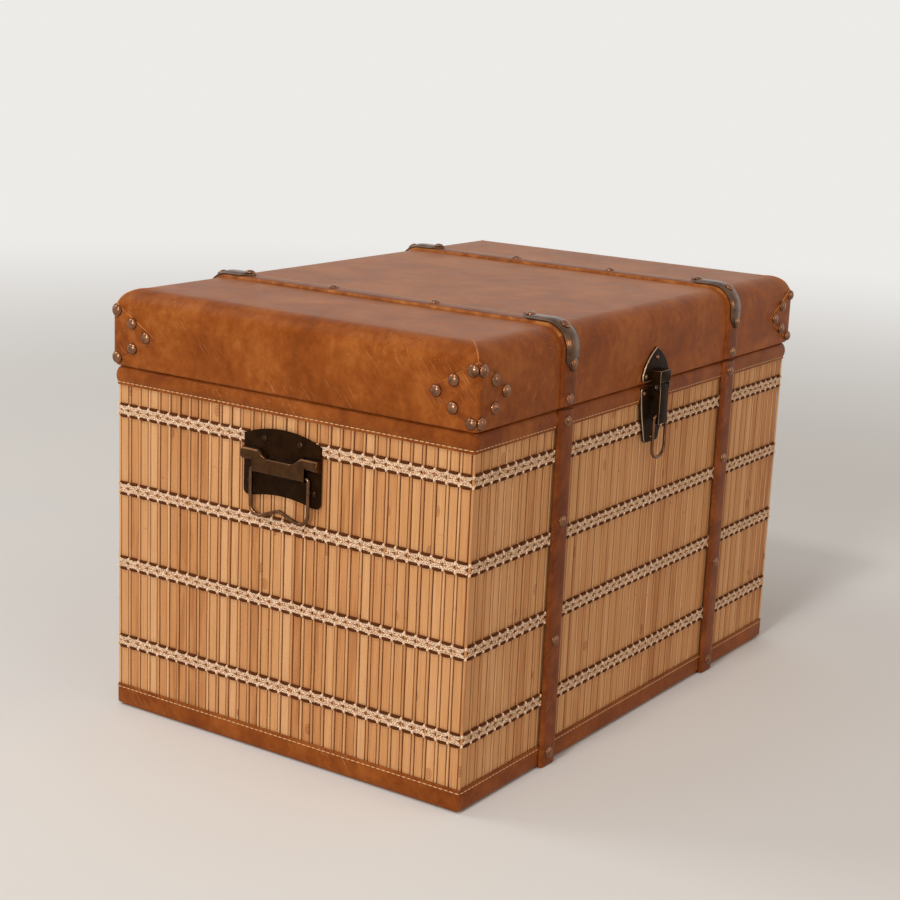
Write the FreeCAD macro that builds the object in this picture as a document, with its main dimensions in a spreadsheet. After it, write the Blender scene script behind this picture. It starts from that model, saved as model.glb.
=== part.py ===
import FreeCAD, Part
import Sketcher
import math
import os

# Storage trunk, 600 x 400 x 410 mm: wooden walls under bamboo slat matting, with a leather lid,
# leather bands and straps, metal strap clips, a hasp with a wire ring, and a drop handle on each end.
# Frame: +Z up, X along the length, the hasp on the -Y face, the origin at the middle of the base.

doc = FreeCAD.newDocument("storage_trunk")
sheet = doc.addObject("Spreadsheet::Sheet", "sizes")

# Driving sizes in millimetres. The sheet's cells hold the same numbers under the same names.
SIZES = (
    # overall
    ("box_length", 600), ("box_width", 396), ("seam_height", 332), ("lid_height", 71),
    ("board_thickness", 9), ("lid_top_thickness", 12), ("leather_thickness", 1.5), ("lining_thickness", 1),
    ("fit_gap", 0.3), ("seam_gap", 0.4),
    # base and bands
    ("base_inset", 4), ("base_thickness", 2), ("bottom_band_height", 19.7), ("bottom_fold", 20),
    ("rim_height", 17.3), ("rim_bulge", 0.6), ("rim_bevel", 0.9),
    # matting
    ("slat_thickness", 2), ("stick_rise", 0.4), ("slat_width", 8.8), ("stick_width", 2.1),
    ("slat_pitch", 12.3), ("cord_width", 2), ("cord_spacing", 11), ("braid_height", 8), ("cord_clearance", 0.1),
    # lid cover and corner patches
    ("lid_overhang", 1.5), ("lid_edge_radius", 20), ("lid_corner_radius", 3),
    ("patch_thickness", 1.4), ("patch_reach", 46), ("patch_top", 59), ("patch_tip", 30), ("patch_bottom", 2.5),
    # straps, nails and clips
    ("strap_width", 25), ("strap_thickness", 3.2), ("strap_bevel", 1.4), ("strap_inset", 140),
    ("strap_seam_gap", 2), ("strap_foot_gap", 1),
    ("nail_diameter", 10.5), ("nail_rise", 2.8), ("lid_nail_height", 8), ("patch_nail_inset", 5.5),
    ("clip_thickness", 1.4), ("clip_width", 22), ("clip_bevel", 0.4), ("clip_point", 9),
    ("clip_reach", 48), ("clip_drop", 39), ("clip_nail_inset", 7.2), ("clip_nail_slant", 56),
    # back hinges
    ("hinge_inset", 80), ("hinge_width", 40), ("hinge_leaf_height", 22), ("hinge_leaf_thickness", 1.2),
    ("hinge_knuckle_radius", 2.6), ("hinge_pin_radius", 1.3), ("hinge_leaf_drop", 3.2),
    # hasp and its plates
    ("plate_thickness", 2.4), ("plate_wall", 1), ("plate_bevel", 0.7),
    ("plate_corner", 2.8),
    ("lid_plate_width", 50), ("lid_plate_foot", 2.5), ("lid_plate_shoulder", 6), ("lid_plate_top", 31),
    ("body_plate_drop", 3.5), ("body_plate_width", 50), ("body_plate_height", 54),
    ("stud_diameter", 4.5), ("stud_rise", 1.6),
    ("hasp_width", 16), ("hasp_sheet", 1.2), ("hasp_length", 36), ("hasp_depth", 7.2), ("hasp_corner", 2),
    ("hasp_pin_radius", 1.5), ("hasp_pin_stand", 6.6), ("hasp_pin_drop", 2.4), ("hasp_front_stand", 3.3),
    ("block_width", 20), ("block_height", 11), ("block_gap", 0.5), ("block_cheek", 1.6), ("keeper_radius", 2.6),
    ("ring_wire", 3), ("ring_width", 24), ("ring_height", 41), ("ring_drop", 27.5), ("pin_clearance", 0.05),
    # end handles
    ("handle_drop", 11.8), ("handle_plate_width", 86), ("handle_plate_height", 64),
    ("handle_plate_thickness", 1.5), ("handle_arch", 8.5), ("handle_leg_arch", 4.5), ("handle_leg_width", 9),
    ("handle_corner", 5), ("handle_screw_drop", 2), ("leg_screw_height", 13),
    ("hood_top", 12.5), ("hood_radius", 6.3), ("hood_sheet", 1.2), ("hood_curl", 2), ("hood_apron_width", 58.5),
    ("hood_apron_bottom", 9), ("hood_dip", 5.3), ("hood_dip_width", 31), ("hood_dip_run", 9), ("hood_shoulder", 1),
    ("bail_wire", 3.4), ("bail_width", 64.5), ("bail_length", 46.2), ("bail_kink", 12),
    ("handle_screw_diameter", 6.5), ("handle_screw_rise", 1.6),
)

# Places and shapes given as shares of what they follow.
# The woven bands over the bare matting's height, the nails over the height of the seam,
# and the top nails over the width of the box.
weave_height_shares = (0.151, 0.416, 0.664, 0.919)
strap_nail_shares = (0.039, 0.36, 0.694, 0.965)
lid_nail_share = 0.144
# The body plate's waist and foot over its half width, and the waist's depth over its height.
plate_waist_share = 0.64
plate_foot_share = 0.4
plate_waist_depth_share = 0.82
# How far out and up the lid plate's side bows between its shoulder and its tip.
arch_out_share = 0.6
arch_up_share = 0.55
# The stud's distance from a plate's edge over its own diameter.
stud_inset_share = 1.1
# The fall of the hood's top towards its front, per unit of depth.
hood_fall_share = 0.45
# Bend radii over the wire's thickness, and the ring's lower bends over its half width.
tight_bend_share = 0.8
ring_bend_share = 1.2
wide_bend_share = 2.9
ring_foot_share = 0.85
# Screws of the handle plate: across its half width, and in from its edges over the leg's width.
upper_screw_share = 0.46
leg_screw_share = 0.85
# Where a head's ring of facets lies, from its crown to its edge.
dome_ring_share = 0.6

# Counts of facets round a nail's head, a wire and a small rod, and of straight steps in a wire's bend.
head_sides = 8
wire_sides = 8
rod_sides = 12
bend_steps = 3


class Length:
    """A size in millimetres together with the sheet formula that gives it."""

    def __init__(self, value, formula):
        self.value = float(value)
        self.formula = formula

    def __float__(self):
        return self.value

    def __neg__(self):
        return Length(-self.value, "(-%s)" % self.formula)

    def __add__(self, other):
        return joined(self, "+", other)

    def __radd__(self, other):
        return joined(other, "+", self)

    def __sub__(self, other):
        return joined(self, "-", other)

    def __rsub__(self, other):
        return joined(other, "-", self)

    def __mul__(self, other):
        return joined(self, "*", other)

    def __rmul__(self, other):
        return joined(other, "*", self)

    def __truediv__(self, other):
        return joined(self, "/", other)


def joined(left, sign, right):
    """The sum, difference, product or quotient of two sizes, one of which may be a plain number."""
    a = float(left)
    b = float(right)
    value = {"+": a + b, "-": a - b, "*": a * b, "/": a / b if b else a}[sign]
    texts = [item.formula if isinstance(item, Length) else "%s" % item for item in (left, right)]
    return Length(value, "(%s %s %s)" % (texts[0], sign, texts[1]))


def fill_sheet():
    """Write the driving sizes into the sheet and return them by name."""
    found = {}
    for row, (alias, number) in enumerate(SIZES, start=1):
        sheet.set("A%d" % row, alias)
        sheet.set("B%d" % row, str(number))
        sheet.setAlias("B%d" % row, alias)
    doc.recompute()
    for alias, number in SIZES:
        found[alias] = Length(sheet.get(alias), "sizes.%s" % alias)
    return found


size = fill_sheet()
nodes = []

# Planes that several pieces share, as distances from the middle of the box or heights above the floor.
half_length = size["box_length"] / 2
half_width = size["box_width"] / 2
stick_face = size["leather_thickness"]
slat_face = stick_face + size["stick_rise"]
wall_face = slat_face + size["slat_thickness"]
wall_inner = wall_face + size["board_thickness"]
walls_bottom = size["base_thickness"] + size["leather_thickness"]
rim_top = size["seam_height"] - size["seam_gap"]
walls_top = rim_top - size["leather_thickness"]
rim_bottom = rim_top - size["rim_height"]
band_top = size["base_thickness"] + size["bottom_band_height"]
lid_top = size["seam_height"] + size["lid_height"]
lid_front = half_width + size["lid_overhang"]
lid_end = half_length + size["lid_overhang"]
strap_back = size["rim_bulge"]
strap_middle = half_length - size["strap_inset"]
hinge_middle = half_length - size["hinge_inset"]
handle_middle = rim_bottom - size["handle_drop"] - size["handle_plate_height"] / 2


def vec(x, y, z):
    return FreeCAD.Vector(float(x), float(y), float(z))


def turned(angle):
    """A placement that turns a piece about the upright axis, from the front face to another face."""
    return FreeCAD.Placement(vec(0, 0, 0), FreeCAD.Rotation(vec(0, 0, 1), angle))


def keep(item, label):
    item.Label = label
    nodes.append(item)
    return item


def bind(item, path, amount):
    """Tie one property of an object to the sheet, or set it where the amount is a plain zero."""
    if isinstance(amount, Length):
        item.setExpression(path, amount.formula)


def bind_place(item, point):
    for axis, amount in zip("xyz", point):
        bind(item, "Placement.Base.%s" % axis, amount)


def board(name, low, high):
    """A Part::Box between two corners whose sizes and place follow the sheet."""
    item = doc.addObject("Part::Box", name)
    for prop, a, b in zip(("Length", "Width", "Height"), low, high):
        bind(item, prop, b - a)
    bind_place(item, low)
    return item


def around(name, reach_x, reach_y, low_z, high_z):
    """A box centred on the upright axis, reaching equally far each way."""
    return board(name, (-reach_x, -reach_y, low_z), (reach_x, reach_y, high_z))


def rod(name, radius, length, start, turn_axis=(0, 1, 0)):
    """A Part::Cylinder from a start point, along +X unless another turning axis is given."""
    item = doc.addObject("Part::Cylinder", name)
    item.Placement = FreeCAD.Placement(vec(0, 0, 0), FreeCAD.Rotation(vec(*turn_axis), 90))
    bind(item, "Radius", radius)
    bind(item, "Height", length)
    bind_place(item, start)
    return item


def many_sided(name, radius, length, start):
    """A Part::Prism along +X with the given corner radius, for small round pieces that repeat."""
    item = doc.addObject("Part::Prism", name)
    item.Polygon = rod_sides
    item.Placement = FreeCAD.Placement(vec(0, 0, 0), FreeCAD.Rotation(vec(0, 1, 0), 90))
    bind(item, "Circumradius", radius)
    bind(item, "Height", length)
    bind_place(item, start)
    return item


def bore_for(pin_radius):
    """Corner radius of a many-sided bore whose flats clear a pin of the given corner radius."""
    return (pin_radius + size["pin_clearance"]) / math.cos(math.pi / rod_sides)


def cut(name, base, *tools):
    """The base object less each tool in turn, as a chain of Part::Cut objects."""
    for count, tool in enumerate(tools, start=1):
        item = doc.addObject("Part::Cut", name if count == len(tools) else "%s_cut_%d" % (name, count))
        item.Base = base
        item.Tool = tool
        item.Refine = True
        base = item
    return base


def united(name, pieces):
    item = doc.addObject("Part::MultiFuse", name)
    item.Shapes = pieces
    item.Refine = True
    return item


def shared(name, pieces):
    item = doc.addObject("Part::MultiCommon", name)
    item.Shapes = pieces
    item.Refine = True
    return item


def mirrored(name, source, normal):
    item = doc.addObject("Part::Mirroring", name)
    item.Source = source
    item.Normal = vec(*normal)
    return item


def both_sides(label, source):
    """A node that holds a piece and its mirror image on the other half of the box's length."""
    item = doc.addObject("Part::Compound", label)
    item.Links = [source, mirrored(label + "_left", source, (1, 0, 0))]
    return keep(item, label)


def all_corners(label, source):
    """A node that holds a piece and its mirror images on the other half and on the back."""
    left = mirrored(label + "_left", source, (1, 0, 0))
    item = doc.addObject("Part::Compound", label)
    item.Links = [source, left, mirrored(label + "_back", source, (0, 1, 0)),
                  mirrored(label + "_back_left", left, (0, 1, 0))]
    return keep(item, label)


def origin_plane(body, role):
    return [item for item in body.Origin.OriginFeatures if item.Role == role][0]


def sketch_on(body, name, role, lift=0):
    """An empty sketch on one of the body's own planes, moved off it along its normal."""
    sketch = body.newObject("Sketcher::SketchObject", name)
    sketch.AttachmentSupport = (origin_plane(body, role), [""])
    sketch.MapMode = "FlatFace"
    bind(sketch, "AttachmentOffset.Base.z", lift)
    return sketch


def tie_point(sketch, geometry, spot, point):
    """Hold one point of a sketch at a place given by the sheet."""
    for kind, axis, amount in zip(("DistanceX", "DistanceY"), (-2, -1), point):
        if isinstance(amount, Length) and float(amount) != 0:
            number = sketch.addConstraint(Sketcher.Constraint(kind, -1, 1, geometry, spot, float(amount)))
            sketch.setExpression("Constraints[%d]" % number, amount.formula)
        else:
            sketch.addConstraint(Sketcher.Constraint("PointOnObject", geometry, spot, axis))


def draw_outline(sketch, points, bows=None):
    """A closed outline through the points; bows gives the side on which a side bulges by a rise."""
    bows = bows or {}
    count = len(points)
    flat = [vec(a, b, 0) for a, b in points]
    for index in range(count):
        start = flat[index]
        end = flat[(index + 1) % count]
        if index in bows:
            outward = (end - start).cross(vec(0, 0, 1)).normalize()
            top = (start + end) * 0.5 + outward * float(bows[index])
            sketch.addGeometry(Part.Arc(start, top, end), False)
        else:
            sketch.addGeometry(Part.LineSegment(start, end), False)
    ends = [end_spots(sketch, index, flat[index]) for index in range(count)]
    for index in range(count):
        following = (index + 1) % count
        sketch.addConstraint(Sketcher.Constraint("Coincident", index, ends[index][1], following, ends[following][0]))
    for index in range(count):
        tie_point(sketch, index, ends[index][0], points[index])
    for index, rise in bows.items():
        half_chord = (flat[(index + 1) % count] - flat[index]).Length / 2
        radius = (half_chord * half_chord + float(rise) ** 2) / (2 * abs(float(rise)))
        sketch.addConstraint(Sketcher.Constraint("Radius", index, radius))
    return sketch


def end_spots(sketch, index, start):
    """Which of a side's two ends comes first along the outline."""
    first = sketch.getPoint(index, 1)
    return (1, 2) if first.distanceToPoint(start) < sketch.getPoint(index, 2).distanceToPoint(start) else (2, 1)


def draw_circle(sketch, centre, radius):
    sketch.addGeometry(Part.Circle(vec(centre[0], centre[1], 0), vec(0, 0, 1), float(radius)), False)
    number = sketch.addConstraint(Sketcher.Constraint("Radius", 0, float(radius)))
    sketch.setExpression("Constraints[%d]" % number, radius.formula)
    tie_point(sketch, 0, 3, centre)
    return sketch


def pad(body, name, sketch, length):
    item = body.newObject("PartDesign::Pad", name)
    item.Profile = sketch
    bind(item, "Length", length)
    doc.recompute()
    return item


def pocket(body, name, sketch, length):
    item = body.newObject("PartDesign::Pocket", name)
    item.Profile = sketch
    bind(item, "Length", length)
    doc.recompute()
    return item


def soften(body, name, radius, wanted):
    """A fillet on every edge of the body's newest feature for which wanted(edge) holds."""
    base = body.Tip
    chosen = ["Edge%d" % (number + 1) for number, edge in enumerate(base.Shape.Edges) if wanted(edge)]
    item = body.newObject("PartDesign::Fillet", name)
    item.Base = (base, chosen)
    bind(item, "Radius", radius)
    doc.recompute()
    return item


def bevel(body, name, reach, wanted):
    """A chamfer on every edge of the body's newest feature for which wanted(edge) holds."""
    base = body.Tip
    chosen = ["Edge%d" % (number + 1) for number, edge in enumerate(base.Shape.Edges) if wanted(edge)]
    item = body.newObject("PartDesign::Chamfer", name)
    item.Base = (base, chosen)
    bind(item, "Size", reach)
    doc.recompute()
    return item


def hollow_out(body, name, wall, wanted):
    """Turn the body into a shell of even thickness, open on every face for which wanted(face) holds."""
    base = body.Tip
    chosen = ["Face%d" % (number + 1) for number, face in enumerate(base.Shape.Faces) if wanted(face)]
    item = body.newObject("PartDesign::Thickness", name)
    item.Base = (base, chosen)
    bind(item, "Value", wall)
    item.Reversed = True
    doc.recompute()
    return item


def runs_along(edge, axis):
    """Whether an edge is straight and runs along the axis numbered 0, 1 or 2."""
    box = edge.BoundBox
    spans = [box.XLength, box.YLength, box.ZLength]
    return all(span < tolerance for number, span in enumerate(spans) if number != axis)


tolerance = float(size["fit_gap"]) / 100


def held(name, shape, placement=None):
    """A Part::Feature that holds a shape worked out from the sheet's sizes."""
    item = doc.addObject("Part::Feature", name)
    item.Shape = shape
    if placement is not None:
        item.Placement = placement.multiply(item.Placement)
    return item


def shaped(label, shape, placement=None):
    """The same, kept as a node."""
    return keep(held(label, shape, placement), label)


def rounded_edges(corners, closed=True):
    """Straight edges joined by tangent arcs through corners given as (point, radius)."""
    count = len(corners)
    entries = []
    for index, (point, radius) in enumerate(corners):
        if float(radius) == 0 or (not closed and index in (0, count - 1)):
            entries.append((point, None, point))
            continue
        before = (corners[index - 1][0] - point).normalize()
        after = (corners[(index + 1) % count][0] - point).normalize()
        half_angle = before.getAngle(after) / 2
        reach = float(radius) / math.tan(half_angle)
        middle = (before + after).normalize()
        bow = float(radius) / math.sin(half_angle) - float(radius)
        entries.append((point + before * reach, point + middle * bow, point + after * reach))
    edges = []
    for index, (start, bow, end) in enumerate(entries):
        if bow is not None:
            edges.append(Part.Arc(start, bow, end).toShape())
        if closed or index < count - 1:
            edges.append(Part.LineSegment(end, entries[(index + 1) % count][0]).toShape())
    return edges


def outline(corners, across):
    """A closed wire from (a, b, radius) corners in the plane whose normal is the axis across."""
    frames = {"x": lambda a, b: vec(0, a, b), "y": lambda a, b: vec(a, 0, b), "z": lambda a, b: vec(a, b, 0)}
    return Part.Wire(rounded_edges([(frames[across](a, b), radius) for a, b, radius in corners]))


def prism(wire, push):
    return Part.Face(wire).extrude(push)


def block(low, high):
    """A plain box solid between two corners."""
    sides = [float(b) - float(a) for a, b in zip(low, high)]
    return Part.makeBox(sides[0], sides[1], sides[2], vec(*low))


def dome(diameter, rise):
    """A round head with a dome of flat facets, its flat back at the origin and its crown along -Y."""
    radius = float(diameter) / 2
    rise = float(rise)
    ball = (radius * radius + rise * rise) / (2 * rise)
    slope = 2 * math.atan2(rise, radius) * dome_ring_share
    turns = [2 * math.pi * index / head_sides for index in range(head_sides)]
    edge = [vec(radius * math.cos(turn), 0, radius * math.sin(turn)) for turn in turns]
    reach = ball * math.sin(slope)
    lift = rise - ball + ball * math.cos(slope)
    ring = [vec(reach * math.cos(turn), -lift, reach * math.sin(turn)) for turn in turns]
    crown = vec(0, -rise, 0)
    faces = [edge]
    for index in range(head_sides):
        faces.append([edge[index - 1], edge[index], ring[index], ring[index - 1]])
        faces.append([ring[index - 1], ring[index], crown])
    shell = Part.makeShell([Part.Face(Part.makePolygon(face + face[:1])) for face in faces])
    shell.sewShape()
    return Part.makeSolid(shell)


def heads(places, diameter, rise):
    """A group of separate domed heads at (point, outward direction) places."""
    group = []
    for point, outward in places:
        item = dome(diameter, rise)
        item.Placement = FreeCAD.Placement(point, FreeCAD.Rotation(vec(0, -1, 0), outward))
        group.append(item)
    return Part.makeCompound(group)


# Base, floor and walls
def build_carcass():
    zero = size["base_thickness"] * 0
    inset_x = half_length - size["base_inset"]
    inset_y = half_width - size["base_inset"]
    keep(around("base_board", inset_x, inset_y, zero, size["base_thickness"]), "base_board")
    floor_top = walls_bottom + size["board_thickness"]
    inner_x = half_length - wall_inner
    inner_y = half_width - wall_inner
    keep(around("bottom_panel", inner_x, inner_y, walls_bottom, floor_top), "bottom_panel")
    outer_x = half_length - wall_face
    outer_y = half_width - wall_face
    walls = {
        "front_panel": ((-outer_x, -outer_y, walls_bottom), (outer_x, -inner_y, walls_top)),
        "back_panel": ((-outer_x, inner_y, walls_bottom), (outer_x, outer_y, walls_top)),
        "left_panel": ((-outer_x, -inner_y, walls_bottom), (-inner_x, inner_y, walls_top)),
        "right_panel": ((inner_x, -inner_y, walls_bottom), (outer_x, inner_y, walls_top)),
    }
    for name, (low, high) in walls.items():
        keep(board(name, low, high), name)
    lining = size["lining_thickness"]
    sleeve = around("lining_outer", inner_x, inner_y, floor_top, rim_bottom)
    hollow = around("lining_hollow", inner_x - lining, inner_y - lining, floor_top + lining, walls_top)
    keep(cut("body_lining", sleeve, hollow), "body_lining")


# Leather bands: one folded over the walls' top edge, one folded under their bottom edge
def build_bands():
    leather = size["leather_thickness"]
    outer = around("rim_outer", half_length + strap_back, half_width + strap_back, rim_bottom, rim_top)
    doc.recompute()
    soft = doc.addObject("Part::Chamfer", "rim_soft")
    soft.Base = outer
    reach = float(size["rim_bevel"])
    soft.Edges = [(number, reach, reach) for number in range(1, len(outer.Shape.Edges) + 1)]
    cover_x = half_length - stick_face
    cover_y = half_width - stick_face
    inner_x = half_length - wall_inner
    inner_y = half_width - wall_inner
    below = rim_bottom - leather
    slot_outer = around("rim_slot_outer", cover_x, cover_y, below, walls_top)
    slot_core = around("rim_slot_core", inner_x, inner_y, below - leather, walls_top + leather)
    slot = cut("rim_slot", slot_outer, slot_core)
    mouth = around("rim_mouth", inner_x - leather, inner_y - leather, below, rim_top + leather)
    keep(cut("rim_band", soft, slot, mouth), "rim_band")
    band = around("band_outer", half_length, half_width, size["base_thickness"], band_top)
    upper = around("band_upper_hollow", cover_x, cover_y, walls_bottom, band_top + leather)
    fold_x = half_length - size["bottom_fold"]
    fold_y = half_width - size["bottom_fold"]
    under = around("band_lower_hollow", fold_x, fold_y, size["base_thickness"] - leather, band_top)
    keep(cut("bottom_band", band, upper, under), "bottom_band")


def slat_mat(half_span, half_depth):
    """Wide slats and thin sticks in turn, over one face that looks along -Y."""
    span = 2 * float(half_span)
    count = max(1, round(span / float(size["slat_pitch"])))
    pitch = span / count
    pieces = []
    for index in range(count):
        middle = -span / 2 + pitch * (index + 0.5)
        half = float(size["slat_width"]) / 2
        low = (middle - half, -(half_depth - slat_face), walls_bottom)
        high = (middle + half, -(half_depth - wall_face), walls_top)
        pieces.append(block(low, high))
    for index in range(1, count):
        middle = -span / 2 + pitch * index
        half = float(size["stick_width"]) / 2
        low = (middle - half, -(half_depth - stick_face), walls_bottom)
        high = (middle + half, -(half_depth - wall_face), walls_top)
        pieces.append(block(low, high))
    return Part.makeCompound(pieces)


def woven_bands(half_span, half_depth):
    """Four woven bands on one face: a cream braid between two cords, over the sticks."""
    front = -(half_depth - size["cord_clearance"])
    back = -(half_depth - stick_face)
    bare = rim_bottom - band_top
    pieces = []
    for share in weave_height_shares:
        middle = band_top + bare * share
        rows = ((0, size["braid_height"]), (-0.5, size["cord_width"]), (0.5, size["cord_width"]))
        for side, height in rows:
            centre = middle + size["cord_spacing"] * side
            low = (-half_span, front, centre - height / 2)
            high = (half_span, back, centre + height / 2)
            pieces.append(block(low, high))
    return Part.makeCompound(pieces)


# Matting on the four faces: the end mats lap the corners, the long mats lie between them
def build_matting():
    long_span = half_length - wall_face
    short_span = half_width - slat_face
    faces = (("front", 0, long_span, half_width), ("back", 180, long_span, half_width),
             ("left", -90, short_span, half_length), ("right", 90, short_span, half_length))
    for face, angle, half_span, half_depth in faces:
        shaped("mat_%s" % face, slat_mat(half_span, half_depth), turned(angle))
        shaped("weave_%s" % face, woven_bands(half_span, half_depth), turned(angle))


def bevelled_strap(width, thickness, bevel, path, start, along, outward):
    """A flat strap with bevelled long edges, swept along a path of lines and tangent arcs."""
    across = along.cross(outward)
    half = float(width) / 2
    slope = float(bevel)
    high = float(thickness)
    section = ((-half, 0), (half, 0), (half, high - slope), (half - 2 * slope, high),
               (-half + 2 * slope, high), (-half, high - slope))
    points = [start + across * a + outward * b for a, b in section]
    wire = Part.makePolygon(points + [points[0]])
    return Part.Wire(path).makePipeShell([wire], True, False, 1)


# Straps down the front and back walls, and their nails
def build_body_straps():
    back = half_width + strap_back
    crown = back + size["strap_thickness"]
    shoulder = crown - size["strap_bevel"]
    left = strap_middle - size["strap_width"] / 2
    right = strap_middle + size["strap_width"] / 2
    crown_left = left + size["strap_bevel"] * 2
    crown_right = right - size["strap_bevel"] * 2
    body = doc.addObject("PartDesign::Body", "body_strap")
    section = sketch_on(body, "body_strap_section", "XY_Plane", size["strap_foot_gap"])
    draw_outline(section, [(left, -back), (left, -shoulder), (crown_left, -crown),
                           (crown_right, -crown), (right, -shoulder), (right, -back)])
    pad(body, "body_strap_pad", section, size["seam_height"] - size["strap_seam_gap"] - size["strap_foot_gap"])
    all_corners("body_straps", body)
    offset = float(strap_middle)
    places = []
    for side in (-1, 1):
        for turn in (-1, 1):
            for share in strap_nail_shares:
                point = vec(side * offset, turn * crown, size["seam_height"] * share)
                places.append((point, vec(0, turn, 0)))
    shaped("body_strap_nails", heads(places, size["nail_diameter"], size["nail_rise"]))


def rounded_box(name, reach_x, reach_y, low_z, high_z, radius, wanted):
    """A centred box with a radius on every edge for which wanted(edge) holds."""
    box = around(name + "_box", reach_x, reach_y, low_z, high_z)
    doc.recompute()
    item = doc.addObject("Part::Fillet", name)
    item.Base = box
    item.Edges = [(number, float(radius), float(radius))
                  for number, edge in enumerate(box.Shape.Edges, start=1) if wanted(edge)]
    return item


def lid_form(name, grow, floor):
    """The lid's rounded block, grown all round by a given amount, from a given height up."""
    reach_x = lid_end + grow
    reach_y = lid_front + grow
    top = lid_top + grow
    edge_radius = size["lid_edge_radius"] + grow
    corner_radius = size["lid_corner_radius"] + grow

    def long_top(edge):
        return runs_along(edge, 0) and edge.BoundBox.ZMin > float(top) - tolerance

    def short_top(edge):
        return runs_along(edge, 1) and edge.BoundBox.ZMin > float(top) - tolerance

    def upright(edge):
        return runs_along(edge, 2)

    return shared(name, [
        rounded_box(name + "_long", reach_x, reach_y, floor, top, edge_radius, long_top),
        rounded_box(name + "_short", reach_x, reach_y, floor, top, edge_radius, short_top),
        rounded_box(name + "_upright", reach_x, reach_y, floor, top, corner_radius, upright),
    ])


# Lid boards, leather cover and lining
def build_lid_shell():
    leather = size["leather_thickness"]
    none = leather * 0
    rails_bottom = size["seam_height"] + leather
    outer = lid_form("lid_outer_form", none, size["seam_height"])
    wood = lid_form("lid_wood_form", -leather, rails_bottom)
    cavity_x = lid_end - leather - size["board_thickness"]
    cavity_y = lid_front - leather - size["board_thickness"]
    ceiling = lid_top - leather - size["lid_top_thickness"]
    column = around("lid_hollow", cavity_x, cavity_y, size["seam_height"] - leather, ceiling)
    keep(cut("lid_cover", outer, wood, column), "lid_cover")
    zones = {
        "lid_top_board": ((-lid_end, -lid_front, ceiling), (lid_end, lid_front, lid_top)),
        "lid_front_rail": ((-lid_end, -lid_front, rails_bottom), (lid_end, -cavity_y, ceiling)),
        "lid_back_rail": ((-lid_end, cavity_y, rails_bottom), (lid_end, lid_front, ceiling)),
        "lid_left_rail": ((-lid_end, -cavity_y, rails_bottom), (-cavity_x, cavity_y, ceiling)),
        "lid_right_rail": ((cavity_x, -cavity_y, rails_bottom), (lid_end, cavity_y, ceiling)),
    }
    for name, (low, high) in zones.items():
        keep(shared(name, [wood, board(name + "_zone", low, high)]), name)
    lining = size["lining_thickness"]
    sleeve = around("lid_lining_outer", cavity_x, cavity_y, rails_bottom, ceiling)
    hollow = around("lid_lining_hollow", cavity_x - lining, cavity_y - lining,
                    rails_bottom - lining, ceiling - lining)
    keep(cut("lid_lining", sleeve, hollow), "lid_lining")


# Leather patches round the lid's four upright corners, and their nails
def build_corner_patches():
    patch = size["patch_thickness"]
    seam = size["seam_height"]
    outer = lid_form("patch_outer_form", patch, seam)
    inner = lid_form("patch_inner_form", patch * 0, seam - patch)
    doc.recompute()
    skin = outer.Shape.cut(inner.Shape)
    reach_x = lid_end + patch
    reach_y = lid_front + patch
    lap_x = lid_end - size["lid_corner_radius"]
    lap_y = lid_front - size["lid_corner_radius"]
    high = lid_top + patch
    low_corner = seam + size["patch_bottom"]
    tip = seam + size["patch_tip"]
    high_corner = seam + size["patch_top"]
    far_x = reach_x - size["patch_reach"]
    far_y = reach_y - size["patch_reach"]
    front_tri = outline(((reach_x, low_corner, 0), (far_x, tip, 0), (reach_x, high_corner, 0)), "y")
    end_tri = outline(((reach_y, low_corner, 0), (far_y, tip, 0), (reach_y, high_corner, 0)), "x")
    long_face = skin.common(prism(front_tri, vec(0, reach_y, 0)))
    long_face = long_face.common(block((lap_x - size["patch_reach"], lap_y, seam), (reach_x, reach_y, high)))
    short_face = skin.common(prism(end_tri, vec(reach_x, 0, 0)))
    short_face = short_face.common(block((lap_x, lap_y - size["patch_reach"], seam), (reach_x, reach_y, high)))
    all_corners("corner_patches", held("corner_patch", long_face.fuse(short_face).removeSplitter().Solids[0]))
    build_patch_nails(reach_x, reach_y, seam)


def build_patch_nails(reach_x, reach_y, seam):
    """Five nails on each leaf of each patch: along its two slanting edges and at its tip."""
    inset = size["patch_nail_inset"]
    low = size["patch_bottom"] + inset
    high = size["patch_top"] - inset - size["patch_bottom"]
    tip = size["patch_reach"] - inset - size["patch_bottom"]
    middle = (inset + tip) / 2
    spots = ((inset, low), (inset, high), (tip, size["patch_tip"]),
             (middle, (low + size["patch_tip"]) / 2), (middle, (high + size["patch_tip"]) / 2))
    places = []
    for side_x in (-1, 1):
        for side_y in (-1, 1):
            for along, up in spots:
                front = vec(side_x * (reach_x - along), side_y * reach_y, seam + up)
                places.append((front, vec(0, side_y, 0)))
                end = vec(side_x * reach_x, side_y * (reach_y - along), seam + up)
                places.append((end, vec(side_x, 0, 0)))
    shaped("patch_nails", heads(places, size["nail_diameter"], size["nail_rise"]))


def over_the_lid(stand, reach, drop_end):
    """Edges of a path at a given distance over the lid, from low on the front, up and across its top."""
    front = -(lid_front + stand)
    top = lid_top + stand
    radius = size["lid_edge_radius"] + stand
    corners = [(vec(0, front, drop_end), 0), (vec(0, front, top), radius), (vec(0, reach, top), 0)]
    return rounded_edges(corners, closed=False)


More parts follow.
